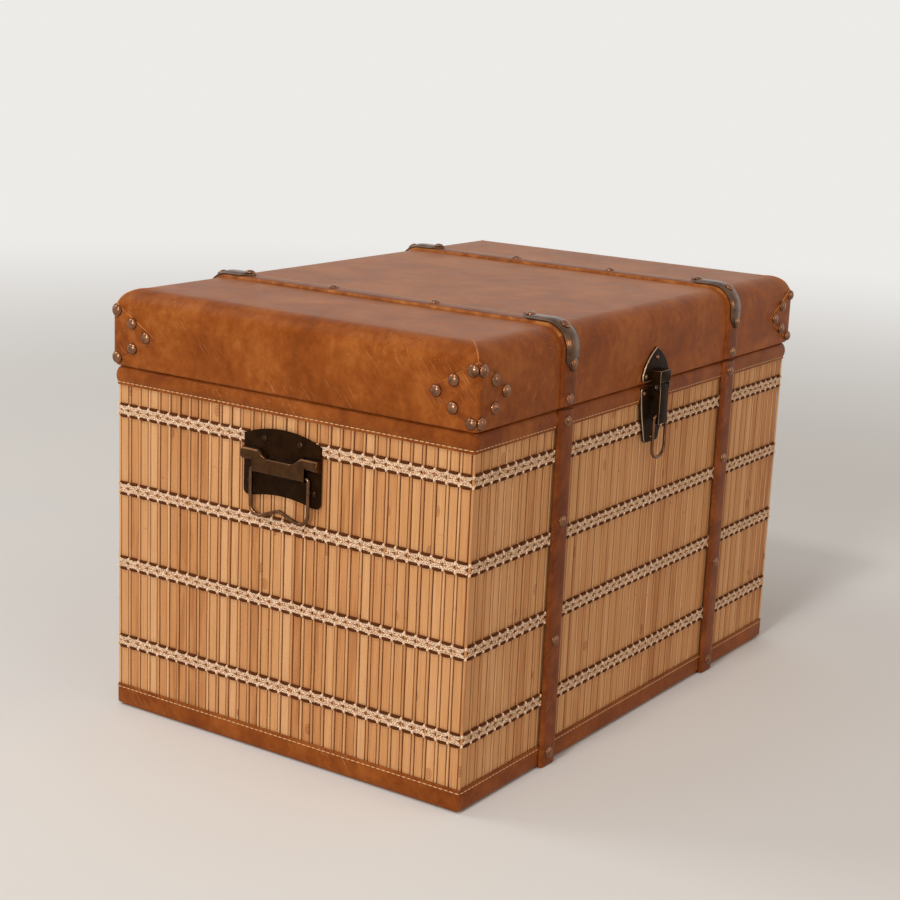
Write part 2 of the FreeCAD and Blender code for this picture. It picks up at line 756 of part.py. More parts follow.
# Straps over the lid and their nails
def build_lid_straps():
    foot = size["seam_height"] + size["strap_seam_gap"]
    none = foot * 0
    half = over_the_lid(none, none, foot)
    start = vec(0, -lid_front, foot)
    quarter = bevelled_strap(size["strap_width"], size["strap_thickness"], size["strap_bevel"],
                             half, start, vec(0, 0, 1), vec(0, -1, 0))
    other = quarter.rotated(vec(0, 0, 0), vec(0, 0, 1), 180)
    offset = float(strap_middle)
    one = held("lid_strap", quarter.fuse(other).removeSplitter().Solids[0])
    one.setExpression("Placement.Base.x", strap_middle.formula)
    both_sides("lid_straps", one)
    skirt = lid_front + size["strap_thickness"]
    crown = lid_top + size["strap_thickness"]
    spread = size["box_width"] * lid_nail_share
    places = []
    for side in (-1, 1):
        for turn in (-1, 1):
            places.append((vec(side * offset, turn * skirt, size["seam_height"] + size["lid_nail_height"]),
                           vec(0, turn, 0)))
            places.append((vec(side * offset, turn * spread, crown), vec(0, 0, 1)))
    shaped("lid_strap_nails", heads(places, size["nail_diameter"], size["nail_rise"]))


# Metal clips bent over the straps at the lid's front and back top edges
def build_strap_clips():
    stand = size["strap_thickness"]
    drop_end = lid_top - size["clip_drop"]
    reach = -(lid_front - size["clip_reach"])
    path = over_the_lid(stand, reach, drop_end)
    start = vec(0, -(lid_front + stand), drop_end)
    bar = bevelled_strap(size["clip_width"], size["clip_thickness"], size["clip_bevel"],
                         path, start, vec(0, 0, 1), vec(0, -1, 0))
    half = size["clip_width"] / 2
    point = size["clip_point"]
    far = lid_top + size["clip_reach"]
    upright = outline(((0, drop_end, 0), (half, drop_end + point, 0), (half, far, 0),
                       (-half, far, 0), (-half, drop_end + point, 0)), "y")
    level = outline(((0, reach, 0), (-half, reach - point, 0), (-half, -far, 0),
                     (half, -far, 0), (half, reach - point, 0)), "z")
    clip = bar.common(prism(upright, vec(0, -2 * lid_front, 0)))
    one = held("strap_clip", clip.common(prism(level, vec(0, 0, 2 * lid_top))).Solids[0])
    one.setExpression("Placement.Base.x", strap_middle.formula)
    all_corners("strap_clips", one)
    face = lid_front + stand + size["clip_thickness"]
    crown = lid_top + stand + size["clip_thickness"]
    bend = size["lid_edge_radius"] + stand + size["clip_thickness"]
    slant = math.radians(float(size["clip_nail_slant"]))
    inner = lid_front - size["clip_reach"] + size["clip_nail_inset"]
    out = lid_front - size["lid_edge_radius"] + bend * math.cos(slant)
    high = lid_top - size["lid_edge_radius"] + bend * math.sin(slant)
    places = []
    for side in (-1, 1):
        for turn in (-1, 1):
            x = side * strap_middle
            places.append((vec(x, turn * face, drop_end + size["clip_nail_inset"]), vec(0, turn, 0)))
            places.append((vec(x, turn * inner, crown), vec(0, 0, 1)))
            places.append((vec(x, turn * out, high), vec(0, turn * math.cos(slant), math.sin(slant))))
    shaped("clip_nails", heads(places, size["nail_diameter"], size["nail_rise"]))


# Two butt hinges on the back: leaves, knuckles and pins
def build_back_hinges():
    thick = size["hinge_leaf_thickness"]
    knuckle = size["hinge_knuckle_radius"]
    axis_y = lid_front + knuckle + size["fit_gap"]
    axis_z = size["seam_height"]
    width = size["hinge_width"]
    third = width / 3
    gap = size["fit_gap"]
    drop = size["hinge_leaf_drop"]
    tall = size["hinge_leaf_height"]
    start = hinge_middle - width / 2
    body_y = half_width + strap_back
    leaf_low = board("hinge_body_leaf_flat", (start, body_y, axis_z - drop - tall),
                     (start + width, body_y + thick, axis_z - drop))
    leaf_high = board("hinge_lid_leaf_flat", (start, lid_front, axis_z + drop),
                      (start + width, lid_front + thick, axis_z + drop + tall))
    body_pieces = [leaf_low]
    for name, low in (("near", start), ("far", start + third * 2 + gap)):
        high = low + third - gap
        body_pieces.append(many_sided("hinge_body_knuckle_" + name, knuckle, high - low, (low, axis_y, axis_z)))
        body_pieces.append(board("hinge_body_web_" + name, (low, body_y, axis_z - knuckle),
                                 (high, axis_y, axis_z - knuckle + thick)))
        body_pieces.append(board("hinge_body_stem_" + name, (low, body_y, axis_z - drop),
                                 (high, body_y + thick, axis_z - knuckle)))
    low = start + third
    high = start + third * 2
    lid_pieces = [leaf_high,
                  many_sided("hinge_lid_knuckle", knuckle, third, (low, axis_y, axis_z)),
                  board("hinge_lid_web", (low, lid_front, axis_z + knuckle - thick),
                        (high, axis_y, axis_z + knuckle)),
                  board("hinge_lid_stem", (low, lid_front, axis_z + knuckle),
                        (high, lid_front + thick, axis_z + drop))]
    bore = many_sided("hinge_bore", bore_for(size["hinge_pin_radius"]), width, (start, axis_y, axis_z))
    both_sides("hinge_body_leaves", cut("hinge_body_leaf", united("hinge_body_blank", body_pieces), bore))
    both_sides("hinge_lid_leaves", cut("hinge_lid_leaf", united("hinge_lid_blank", lid_pieces), bore))
    pin = many_sided("hinge_pin", size["hinge_pin_radius"], width, (start, axis_y, axis_z))
    both_sides("hinge_pins", pin)


def pressed_plate(label, points, back_y):
    """A plate pressed from sheet on the front: a shallow tray, open to the back, from (x, z) corners."""
    body = doc.addObject("PartDesign::Body", label)
    bind(body, "Placement.Base.y", -back_y)
    blank = draw_outline(sketch_on(body, label + "_outline", "XZ_Plane"), points)
    pad(body, label + "_pad", blank, size["plate_thickness"])
    front = -float(size["plate_thickness"])
    soften(body, label + "_corners", size["plate_corner"], lambda edge: runs_along(edge, 1))
    hollow_out(body, label + "_tray", size["plate_wall"], lambda face: face.BoundBox.YMin > -tolerance)
    bevel(body, label + "_rim", size["plate_bevel"], lambda edge: edge.BoundBox.YMax < front + tolerance)
    return keep(body, label)


# Plates of the hasp and their studs
def build_latch_plates():
    seam = size["seam_height"]
    half = size["lid_plate_width"] / 2
    foot = seam + size["lid_plate_foot"]
    shoulder = foot + size["lid_plate_shoulder"]
    tip = foot + size["lid_plate_top"]
    bow_x = half * arch_out_share
    bow_z = shoulder + (tip - shoulder) * arch_up_share
    pressed_plate("latch_lid_plate", [(-half, foot), (half, foot), (half, shoulder), (bow_x, bow_z), (0, tip),
                                      (-bow_x, bow_z), (-half, shoulder)], lid_front)
    wide = size["body_plate_width"] / 2
    top = seam - size["body_plate_drop"]
    tall = size["body_plate_height"]
    waist = wide * plate_waist_share
    waist_z = top - tall * plate_waist_depth_share
    end = wide * plate_foot_share
    pressed_plate("latch_body_plate", [(-wide, top), (-waist, waist_z), (-end, top - tall), (end, top - tall),
                                       (waist, waist_z), (wide, top)], half_width + strap_back)
    lid_face = lid_front + size["plate_thickness"]
    body_face = half_width + strap_back + size["plate_thickness"]
    edge = size["stud_diameter"] * stud_inset_share
    lid_spots = [(vec(side * (half - edge), -lid_face, foot + edge), vec(0, -1, 0)) for side in (-1, 1)]
    lid_spots.append((vec(0, -lid_face, tip - 2 * edge), vec(0, -1, 0)))
    body_spots = [(vec(side * (wide - edge), -body_face, top - edge), vec(0, -1, 0)) for side in (-1, 1)]
    body_spots.append((vec(0, -body_face, top - tall + edge), vec(0, -1, 0)))
    shaped("latch_lid_studs", heads(lid_spots, size["stud_diameter"], size["stud_rise"]))
    shaped("latch_body_studs", heads(body_spots, size["stud_diameter"], size["stud_rise"]))


# Hasp: a channel of sheet hung on a pin under the lid plate's block, with the ring through its cheeks
def build_hasp():
    stand = size["hasp_front_stand"]
    sheet_thickness = size["hasp_sheet"]
    wall = size["plate_wall"]
    half = size["hasp_width"] / 2
    width = size["hasp_width"]
    length = size["hasp_length"]
    depth = size["hasp_depth"]
    corner = size["hasp_corner"]
    pin_y = -(lid_front + size["plate_thickness"] + size["hasp_pin_stand"])
    pin_z = size["seam_height"] - size["hasp_pin_drop"]
    ring_drop = size["ring_drop"]
    ring_in = sheet_thickness + size["fit_gap"] + size["ring_wire"] / 2 - stand

    body = doc.addObject("PartDesign::Body", "hasp_channel_body")
    bind(body, "Placement.Base.y", pin_y)
    bind(body, "Placement.Base.z", pin_z)
    back = depth - stand
    profile = draw_outline(sketch_on(body, "hasp_profile", "YZ_Plane", -half),
                           [(0, 0), (-stand, 0), (-stand, -length), (back - corner, -length),
                            (back, corner - length), (back, -stand), (0, -stand)])
    pad(body, "hasp_block_pad", profile, width)
    channel = draw_outline(sketch_on(body, "hasp_channel", "XZ_Plane", stand - sheet_thickness),
                           [(sheet_thickness - half, -length * 2), (half - sheet_thickness, -length * 2),
                            (half - sheet_thickness, -stand), (sheet_thickness - half, -stand)])
    pocket(body, "hasp_channel_pocket", channel, depth)
    barrel = many_sided("hasp_barrel", stand, width, (-half, pin_y, pin_z))
    bore = many_sided("hasp_bore", bore_for(size["hasp_pin_radius"]), width, (-half, pin_y, pin_z))
    eye = many_sided("hasp_eye", bore_for(size["ring_wire"] / 2), width, (-half, pin_y + ring_in, pin_z - ring_drop))
    keep(cut("hasp", united("hasp_blank", [body, barrel]), bore, eye), "hasp")

    wide = size["block_width"] / 2
    cheek = size["block_cheek"]
    face = lid_front + size["plate_thickness"]
    low = pin_z + stand + size["block_gap"]
    high = low + size["block_height"]
    nose = stand - pin_y + size["fit_gap"]
    ear_low = pin_z - stand
    head = board("block_head", (-wide, -nose, low), (wide, -face, high))
    ear_body = doc.addObject("PartDesign::Body", "block_ears")
    ear = draw_outline(sketch_on(ear_body, "block_ear_profile", "YZ_Plane", -wide),
                       [(-face, low), (-nose, low), (-nose, ear_low), (pin_y + stand, ear_low)])
    pad(ear_body, "block_ear_pad", ear, size["block_width"])
    space = board("block_space", (cheek - wide, -nose * 2, ear_low - stand), (wide - cheek, -face, low))
    pin_hole = many_sided("block_pin_hole", size["hasp_pin_radius"], size["block_width"], (-wide, pin_y, pin_z))
    blank = united("block_blank", [head, cut("block_ear_pair", ear_body, space)])
    keep(cut("hasp_block", blank, pin_hole), "hasp_block")
    pin = many_sided("hasp_pin", size["hasp_pin_radius"], size["block_width"], (-wide, pin_y, pin_z))
    keep(pin, "hasp_pin")

    stem_face = half_width + strap_back + size["plate_thickness"]
    ring_back = -pin_y - ring_in - size["ring_wire"] / 2
    reach = ring_back - size["fit_gap"] - stem_face
    keeper_start = (stem_face * 0, -stem_face, pin_z - ring_drop / 2)
    keep(rod("hasp_keeper", size["keeper_radius"], reach, keeper_start, (1, 0, 0)), "hasp_keeper")

    side = size["ring_width"] / 2
    ring_y = pin_y + ring_in
    ring_z = pin_z - ring_drop
    low_z = ring_z - size["ring_height"]
    tight = size["ring_wire"] * ring_bend_share
    wide_bend = side * ring_foot_share
    corners = [(vec(-side, ring_y, ring_z), tight), (vec(side, ring_y, ring_z), tight),
               (vec(side, ring_y, low_z), wide_bend), (vec(-side, ring_y, low_z), wide_bend)]
    shaped("latch_ring", bent_wire(corners, size["ring_wire"] / 2))


def bent_wire(corners, radius):
    """A closed loop of wire on an upright plane, through corners given as (point, bend radius). Its bends
    are short straight steps and its section has few sides, so that the loop stays light."""
    stops = []
    for edge in rounded_edges(corners):
        if isinstance(edge.Curve, Part.Circle):
            stops.extend(edge.discretize(Number=bend_steps + 1))
    start = (stops[0] + stops[-1]) / 2
    along = (stops[0] - start).normalize()
    across = vec(0, 1, 0)
    up = along.cross(across)
    turns = [2 * math.pi * index / wire_sides for index in range(wire_sides)]
    section = [start + (across * math.cos(turn) + up * math.sin(turn)) * float(radius) for turn in turns]
    path = Part.makePolygon([start] + stops + [start])
    return path.makePipeShell([Part.makePolygon(section + section[:1])], True, False, 1)


# End handles: a plate with an arched head, a hood bent from sheet, and a wire bail hung in it
def build_handles():
    plate = size["handle_plate_thickness"]
    half = size["handle_plate_width"] / 2
    top = rim_bottom - size["handle_drop"]
    low = handle_middle - size["handle_plate_height"] / 2
    rise = size["handle_arch"]
    leg = size["handle_leg_arch"]
    leg_width = size["handle_leg_width"]
    shoulder = top - rise
    body = doc.addObject("PartDesign::Body", "handle_plate")
    body.Placement = turned(90)
    bind(body, "Placement.Base.x", half_length)
    blank = draw_outline(sketch_on(body, "handle_plate_outline", "XZ_Plane"),
                         [(-half, low), (leg_width - half, low), (half - leg_width, low), (half, low),
                          (half, shoulder), (-half, shoulder)], {1: -leg, 4: rise})
    pad(body, "handle_plate_pad", blank, plate)
    corner_z = float(low) + tolerance
    soften(body, "handle_plate_corners", size["handle_corner"],
           lambda edge: runs_along(edge, 1) and edge.BoundBox.ZMax < corner_z
           and edge.BoundBox.XMax ** 2 > float(half - leg_width / 2) ** 2)
    both_sides("handle_plates", body)

    face = -(half_length + plate)
    spots = []
    for turn in (-1, 1):
        spots.append((vec(turn * half * upper_screw_share, face, top - rise - size["handle_screw_drop"]), vec(0, -1, 0)))
        spots.append((vec(turn * (half - leg_width * leg_screw_share), face, low + size["leg_screw_height"]),
                      vec(0, -1, 0)))
    screws = heads(spots, size["handle_screw_diameter"], size["handle_screw_rise"])
    both_sides("handle_screws", held("handle_screw_set", screws, turned(90)))
    build_hoods(face)


def hood_form(face, inset):
    """The hood filled in, drawn in from its outer faces by a given amount: a half roll across the
    plate, with an apron hung from its middle, under a top that dips in a wave and falls forward."""
    half = size["handle_plate_width"] / 2 - inset
    wide = size["hood_apron_width"] / 2
    reach = size["hood_radius"] - inset
    top = handle_middle + size["hood_top"]
    middle = top - size["hood_radius"]
    bottom = handle_middle - size["hood_apron_bottom"] + inset
    curl = size["hood_curl"] - inset
    roll = Part.makeCylinder(float(reach), 2 * float(half), vec(-half, face, middle), vec(1, 0, 0))
    roll = roll.common(block((-half, face - reach, middle - reach), (half, face, top)))
    sides = outline(((face, middle, 0), (face - reach, middle, 0), (face - reach, bottom, curl),
                     (face, bottom, 0)), "x")
    apron = prism(sides, vec(2 * wide, 0, 0)).translated(vec(-wide, 0, 0))
    flat = size["hood_dip_width"] / 2
    slope = flat + size["hood_dip_run"]
    shoulder = top + size["hood_shoulder"] - inset
    valley = top - size["hood_dip"] - inset
    ease = size["hood_dip"]
    wave = outline(((-half * 2, bottom - reach, 0), (half * 2, bottom - reach, 0), (half * 2, shoulder, 0),
                    (slope, shoulder, ease), (flat, valley, 2 * ease), (-flat, valley, 2 * ease),
                    (-slope, shoulder, ease), (-half * 2, shoulder, 0)), "y")
    wave.translate(vec(0, face, 0))
    depth = 2 * float(reach)
    under = prism(wave, vec(0, -depth, -depth * hood_fall_share))
    return roll.fuse(apron).common(under)


def build_hoods(face):
    """The sheet hoods that hold the bails' top bars, and the bails themselves."""
    sheet_thickness = size["hood_sheet"]
    hood = hood_form(face, sheet_thickness * 0).cut(hood_form(face, sheet_thickness)).removeSplitter()
    both_sides("handle_hoods", held("handle_hood", hood, turned(90)))
    wire_radius = size["bail_wire"] / 2
    bottom = handle_middle - size["hood_apron_bottom"]
    bar_z = bottom + sheet_thickness + size["fit_gap"] + wire_radius
    bar_y = face - size["hood_radius"] + sheet_thickness + size["fit_gap"] + wire_radius
    side = size["bail_width"] / 2
    low_z = bar_z - size["bail_length"]
    bend = size["bail_wire"] * wide_bend_share
    tight = size["bail_wire"] * tight_bend_share
    corners = [(vec(-side, bar_y, bar_z), tight), (vec(side, bar_y, bar_z), tight),
               (vec(side, bar_y, low_z), bend), (vec(0, bar_y, low_z + size["bail_kink"]), bend / 2),
               (vec(-side, bar_y, low_z), bend)]
    bail = bent_wire(corners, wire_radius)
    for name, angle in (("left", -90), ("right", 90)):
        shaped("bail_%s" % name, bail, turned(angle))


build_carcass()
build_bands()
build_matting()
build_body_straps()
build_lid_shell()
build_corner_patches()
build_lid_straps()
build_strap_clips()
build_back_hinges()
build_latch_plates()
build_hasp()
build_handles()
doc.recompute()

os.makedirs("parts", exist_ok=True)
for item in doc.Objects:
    if "Invalid" in item.State or "Error" in item.State:
        raise RuntimeError("%s failed to build" % item.Label)
for item in nodes:
    if item.Shape.isNull() or not item.Shape.isValid() or not item.Shape.Solids:
        raise RuntimeError("%s has no valid solid" % item.Label)
for item in nodes:
    item.Shape.exportStep("parts/%s.step" % item.Label)
print("%d parts, %d solids" % (len(nodes), sum(len(item.Shape.Solids) for item in nodes)))
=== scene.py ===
import math

import bmesh
import bpy
from mathutils import Matrix, Vector


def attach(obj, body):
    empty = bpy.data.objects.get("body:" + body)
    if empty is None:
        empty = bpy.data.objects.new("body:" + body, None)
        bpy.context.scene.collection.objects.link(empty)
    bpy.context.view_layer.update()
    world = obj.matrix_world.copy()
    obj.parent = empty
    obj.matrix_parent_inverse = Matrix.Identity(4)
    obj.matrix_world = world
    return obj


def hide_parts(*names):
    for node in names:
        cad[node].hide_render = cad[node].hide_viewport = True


# Storage trunk, 600 x 396 x 403 mm, in metres: wooden walls under bamboo slat matting, a leather lid,
# leather bands and straps, domed nails, metal clips, a hasp with a ring, and a drop handle on each end.
# The hasp is on the -Y side, the trunk stands on z = 0, and each section below makes one kind of piece.
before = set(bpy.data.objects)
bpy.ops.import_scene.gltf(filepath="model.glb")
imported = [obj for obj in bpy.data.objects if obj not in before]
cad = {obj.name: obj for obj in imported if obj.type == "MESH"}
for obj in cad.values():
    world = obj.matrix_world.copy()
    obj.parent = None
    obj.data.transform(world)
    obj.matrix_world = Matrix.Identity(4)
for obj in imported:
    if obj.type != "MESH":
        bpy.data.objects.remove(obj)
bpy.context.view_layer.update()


# Walls, floor and base: sheets of pressed fibre board, sawn square and glued at the corners.
# The outside is stained brown before the matting goes on, so the gaps between slats stay dark.
def linear(code):
    """A linear colour from an sRGB hex value."""
    parts = [int(code[at:at + 2], 16) / 255 for at in (1, 3, 5)]
    return [part / 12.92 if part <= 0.04045 else ((part + 0.055) / 1.055) ** 2.4 for part in parts] + [1.0]


def add(tree, kind, sockets=None, stops=None, **settings):
    """A node with its settings, its ramp's stops, and each socket set to a value or linked to an output."""
    made = tree.nodes.new(kind)
    for name, setting in settings.items():
        setattr(made, name, setting)
    if stops:
        ramp = made.color_ramp
        while len(ramp.elements) < len(stops):
            ramp.elements.new(0.5)
        for element, (place, code) in zip(ramp.elements, stops):
            element.position = place
            element.color = linear(code)
    for key, given in (sockets or {}).items():
        if isinstance(given, bpy.types.Node):
            given = given.outputs[0]
        if isinstance(given, bpy.types.NodeSocket):
            tree.links.new(given, made.inputs[key])
        else:
            made.inputs[key].default_value = given
    return made


def material(name, **sockets):
    """A new material with the given values on its shader's own sockets, and its object coordinates."""
    made = bpy.data.materials.new(name)
    made.use_nodes = True
    tree = made.node_tree
    shader = tree.nodes["Principled BSDF"]
    for key, given in sockets.items():
        shader.inputs[key.replace("_", " ")].default_value = given
    coordinates = add(tree, "ShaderNodeTexCoord").outputs["Object"]
    return made, tree, shader, coordinates


def grain(tree, coordinates, size_mm, detail=3.0, stretch=(1, 1, 1), roughness=0.55, distortion=0.0):
    """Noise whose spots are about that many millimetres across, times the stretch along each axis."""
    scales = [1 / (size_mm * 0.001 * share) for share in stretch]
    placed = add(tree, "ShaderNodeMapping", {"Vector": coordinates, "Scale": scales})
    return add(tree, "ShaderNodeTexNoise", {"Vector": placed, "Scale": 1.0, "Detail": detail,
                                            "Roughness": roughness, "Distortion": distortion}).outputs[0]


def tinted(tree, shader, pattern, *stops):
    """The shader's base colour, taken from a pattern through a colour ramp."""
    ramp = add(tree, "ShaderNodeValToRGB", {"Fac": pattern}, stops=stops)
    tree.links.new(ramp.outputs[0], shader.inputs["Base Color"])


def raised(tree, shader, height, depth_mm, strength=1.0, under=None):
    """A bump of that depth on the shader; a coarser bump can lie under it."""
    sockets = {"Strength": strength, "Distance": depth_mm * 0.001, "Height": height}
    if under is not None:
        sockets["Normal"] = under
    tree.links.new(add(tree, "ShaderNodeBump", sockets).outputs[0], shader.inputs["Normal"])


def ranged(tree, pattern, low, high, start=0.3, end=0.7):
    """A pattern's values between start and end spread from low to high."""
    return add(tree, "ShaderNodeMapRange", {"Value": pattern, "From Min": start, "From Max": end,
                                            "To Min": low, "To Max": high}).outputs[0]


def dress(piece, finish):
    """Give a piece one material in place of those that it has."""
    piece.data.materials.clear()
    piece.data.materials.append(finish)


# Stained fibre board: a dull mid brown with short raised fibres.
stained_board, tree, shader, coordinates = material("stained pressed fibre board", Roughness=0.85)
fibres = grain(tree, coordinates, 1.2, 5, (1, 1, 4))
tinted(tree, shader, fibres, (0.3, "#6a3512"), (0.75, "#8f5122"))
raised(tree, shader, fibres, 0.12)

# Raw fibre board: pale brown, matt, with short darker fibres, for the floor and the lid's boards.
raw_board, tree, shader, coordinates = material("raw sawn fibre board", Roughness=0.8)
fibres = grain(tree, coordinates, 1.5, 6, (3, 1, 1))
tinted(tree, shader, fibres, (0.3, "#8a6a48"), (0.7, "#b08f68"))
raised(tree, shader, fibres, 0.1)

for name in ("front_panel", "back_panel", "left_panel", "right_panel", "base_board"):
    dress(cad[name], stained_board)
for name in ("bottom_panel", "lid_top_board", "lid_front_rail", "lid_back_rail", "lid_left_rail",
             "lid_right_rail"):
    dress(cad[name], raw_board)


# Matting: wide flat bamboo slats and thin round sticks stand side by side round the four walls. The slats
# are split from the cane's outer wall, planed and lacquered: pale straw to light brown, each with its own
# tone and long fine fibres, and now and then the faint darker scar of a joint in the cane.
def geometry_tree(name, **inputs):
    """An empty geometry tree with one input for each name and kind; returns it with its input outlets."""
    made = bpy.data.node_groups.new(name, "GeometryNodeTree")
    for label, kind in inputs.items():
        made.interface.new_socket(name=label.replace("_", " "), in_out="INPUT",
                                  socket_type="NodeSocket" + kind)
    made.interface.new_socket(name="Geometry", in_out="OUTPUT", socket_type="NodeSocketGeometry")
    return made, made.nodes.new("NodeGroupInput").outputs


def ends_in(tree, *branches):
    """Close a geometry tree with the joined branches, each realized before its material is set."""
    join = tree.nodes.new("GeometryNodeJoinGeometry")
    for geometry, finish in branches:
        solid = add(tree, "GeometryNodeRealizeInstances", {"Geometry": geometry})
        painted = add(tree, "GeometryNodeSetMaterial", {"Geometry": solid, "Material": finish})
        tree.links.new(painted.outputs[0], join.inputs[0])
    out = tree.nodes.new("NodeGroupOutput")
    tree.links.new(join.outputs[0], out.inputs[0])


def put(name, data):
    """An object that holds a mesh, a lamp or a camera, in the scene."""
    made = bpy.data.objects.new(name, data)
    bpy.context.collection.objects.link(made)
    return made


def grown(name, tree, amounts, mesh=None):
    """A plain mesh object made by a geometry tree with the given amounts on its named inputs."""
    piece = put(name, mesh or bpy.data.meshes.new(name))
    maker = piece.modifiers.new("maker", "NODES")
    maker.node_group = tree
    for item in tree.interface.items_tree:
        if item.in_out == "INPUT" and item.name in amounts:
            maker[item.identifier] = amounts[item.name]
    plain = bpy.data.meshes.new_from_object(piece.evaluated_get(bpy.context.evaluated_depsgraph_get()))
    piece.modifiers.clear()
    piece.data = plain
    plain.name = name
    return piece


def fit(piece, body, slot, *stands_for):
    """The piece rides on a body of the frame and stands for these CAD nodes, which are hidden; the slot is
    not used.
    """
    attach(piece, body)
    if stands_for:
        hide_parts(*stands_for)


def scaled(tree, outlet, share):
    """An outlet's value times a share."""
    return add(tree, "ShaderNodeMath", {0: outlet, 1: share}, operation="MULTIPLY").outputs[0]


# The eyes of the cane, where a twig grew: small brown ovals with two fainter rings round each.
EYE_RINGS = ((0.0, "#a06a40"), (0.009, "#ffffff"), (0.017, "#9a6338"), (0.026, "#ffffff"),
             (0.034, "#b98658"), (0.044, "#ffffff"))


def bamboo(name, rough, *tones):
    """Bamboo with a tone of its own for each strip, long fibres, a few cane joints and a rare eye."""
    made, tree, shader, coordinates = material(name, Roughness=rough, Specular_IOR_Level=0.22)
    tone = add(tree, "ShaderNodeAttribute", attribute_name="tone").outputs["Fac"]
    shift = scaled(tree, tone, 3.7)
    apart = add(tree, "ShaderNodeCombineXYZ", {"X": shift, "Y": shift, "Z": shift})
    own = add(tree, "ShaderNodeVectorMath", {0: coordinates, 1: apart}, operation="ADD").outputs[0]
    fibres = grain(tree, own, 0.75, 5, (1, 1, 70), 0.6)
    patches = grain(tree, own, 7, 3, (1, 1, 9), 0.5)
    scars = grain(tree, own, 5, 2, (6, 6, 1), 0.5)
    blend = add(tree, "ShaderNodeMath", {0: ranged(tree, patches, -0.16, 0.16), 1: tone}, operation="ADD")
    colour = add(tree, "ShaderNodeValToRGB", {"Fac": blend}, stops=tones).outputs[0]
    place = add(tree, "ShaderNodeSeparateXYZ", {0: own})
    sideways = add(tree, "ShaderNodeMath", {0: place.outputs["X"], 1: place.outputs["Y"]}, operation="ADD")
    flat = add(tree, "ShaderNodeCombineXYZ", {"X": scaled(tree, sideways, 11.0),
                                              "Y": scaled(tree, place.outputs["Z"], 8.0)})
    eyes = add(tree, "ShaderNodeTexVoronoi", {"Vector": flat, "Scale": 1.0, "Randomness": 1.0},
               voronoi_dimensions="2D")
    rings = add(tree, "ShaderNodeValToRGB", {"Fac": eyes.outputs["Distance"]}, stops=EYE_RINGS)
    for share, tint in ((ranged(tree, fibres, 0.0, 0.38, 0.46, 0.7), linear("#a8683a")),
                        (ranged(tree, scars, 0.0, 0.25, 0.7, 0.78), linear("#8f552a")), (0.75, rings)):
        colour = add(tree, "ShaderNodeMix", {0: share, 6: colour, 7: tint}, data_type="RGBA",
                     blend_type="MULTIPLY").outputs[2]
    tree.links.new(colour, shader.inputs["Base Color"])
    raised(tree, shader, fibres, 0.1, 0.7)
    return made


slat_bamboo = bamboo("planed and lacquered bamboo slat", 0.52, (0.0, "#b97d4a"), (0.12, "#c88d58"),
                     (0.4, "#d09863"), (0.8, "#d6a06b"), (1.0, "#ddaa78"))
stick_bamboo = bamboo("rounded bamboo stick", 0.48, (0.0, "#c48a57"), (0.5, "#d6a06c"), (1.0, "#e4b482"))

matting, given = geometry_tree(
    "slat matting", Slats="Int", Sticks="Int", Pitch="Float", Slat_Width="Float", Slat_Thickness="Float",
    Stick_Width="Float", Stick_Thickness="Float", Stick_Rise="Float", Stick_Rounding="Float", Height="Float",
    Edge_Rounding="Float", Waviness="Float", Place="Vector", Facing="Vector", Seed="Int")


def row_of(tree, given, count):
    """As many points along a wall as a count says, one pitch apart, about the middle."""
    gaps = add(tree, "ShaderNodeMath", {0: given[count], 1: 1.0}, operation="SUBTRACT")
    run = add(tree, "ShaderNodeMath", {0: gaps, 1: given["Pitch"]}, operation="MULTIPLY")
    start = add(tree, "ShaderNodeCombineXYZ", {"X": scaled(tree, run, -0.5)})
    step = add(tree, "ShaderNodeCombineXYZ", {"X": given["Pitch"]})
    return add(tree, "GeometryNodeMeshLine", {"Count": given[count], "Start Location": start, "Offset": step})


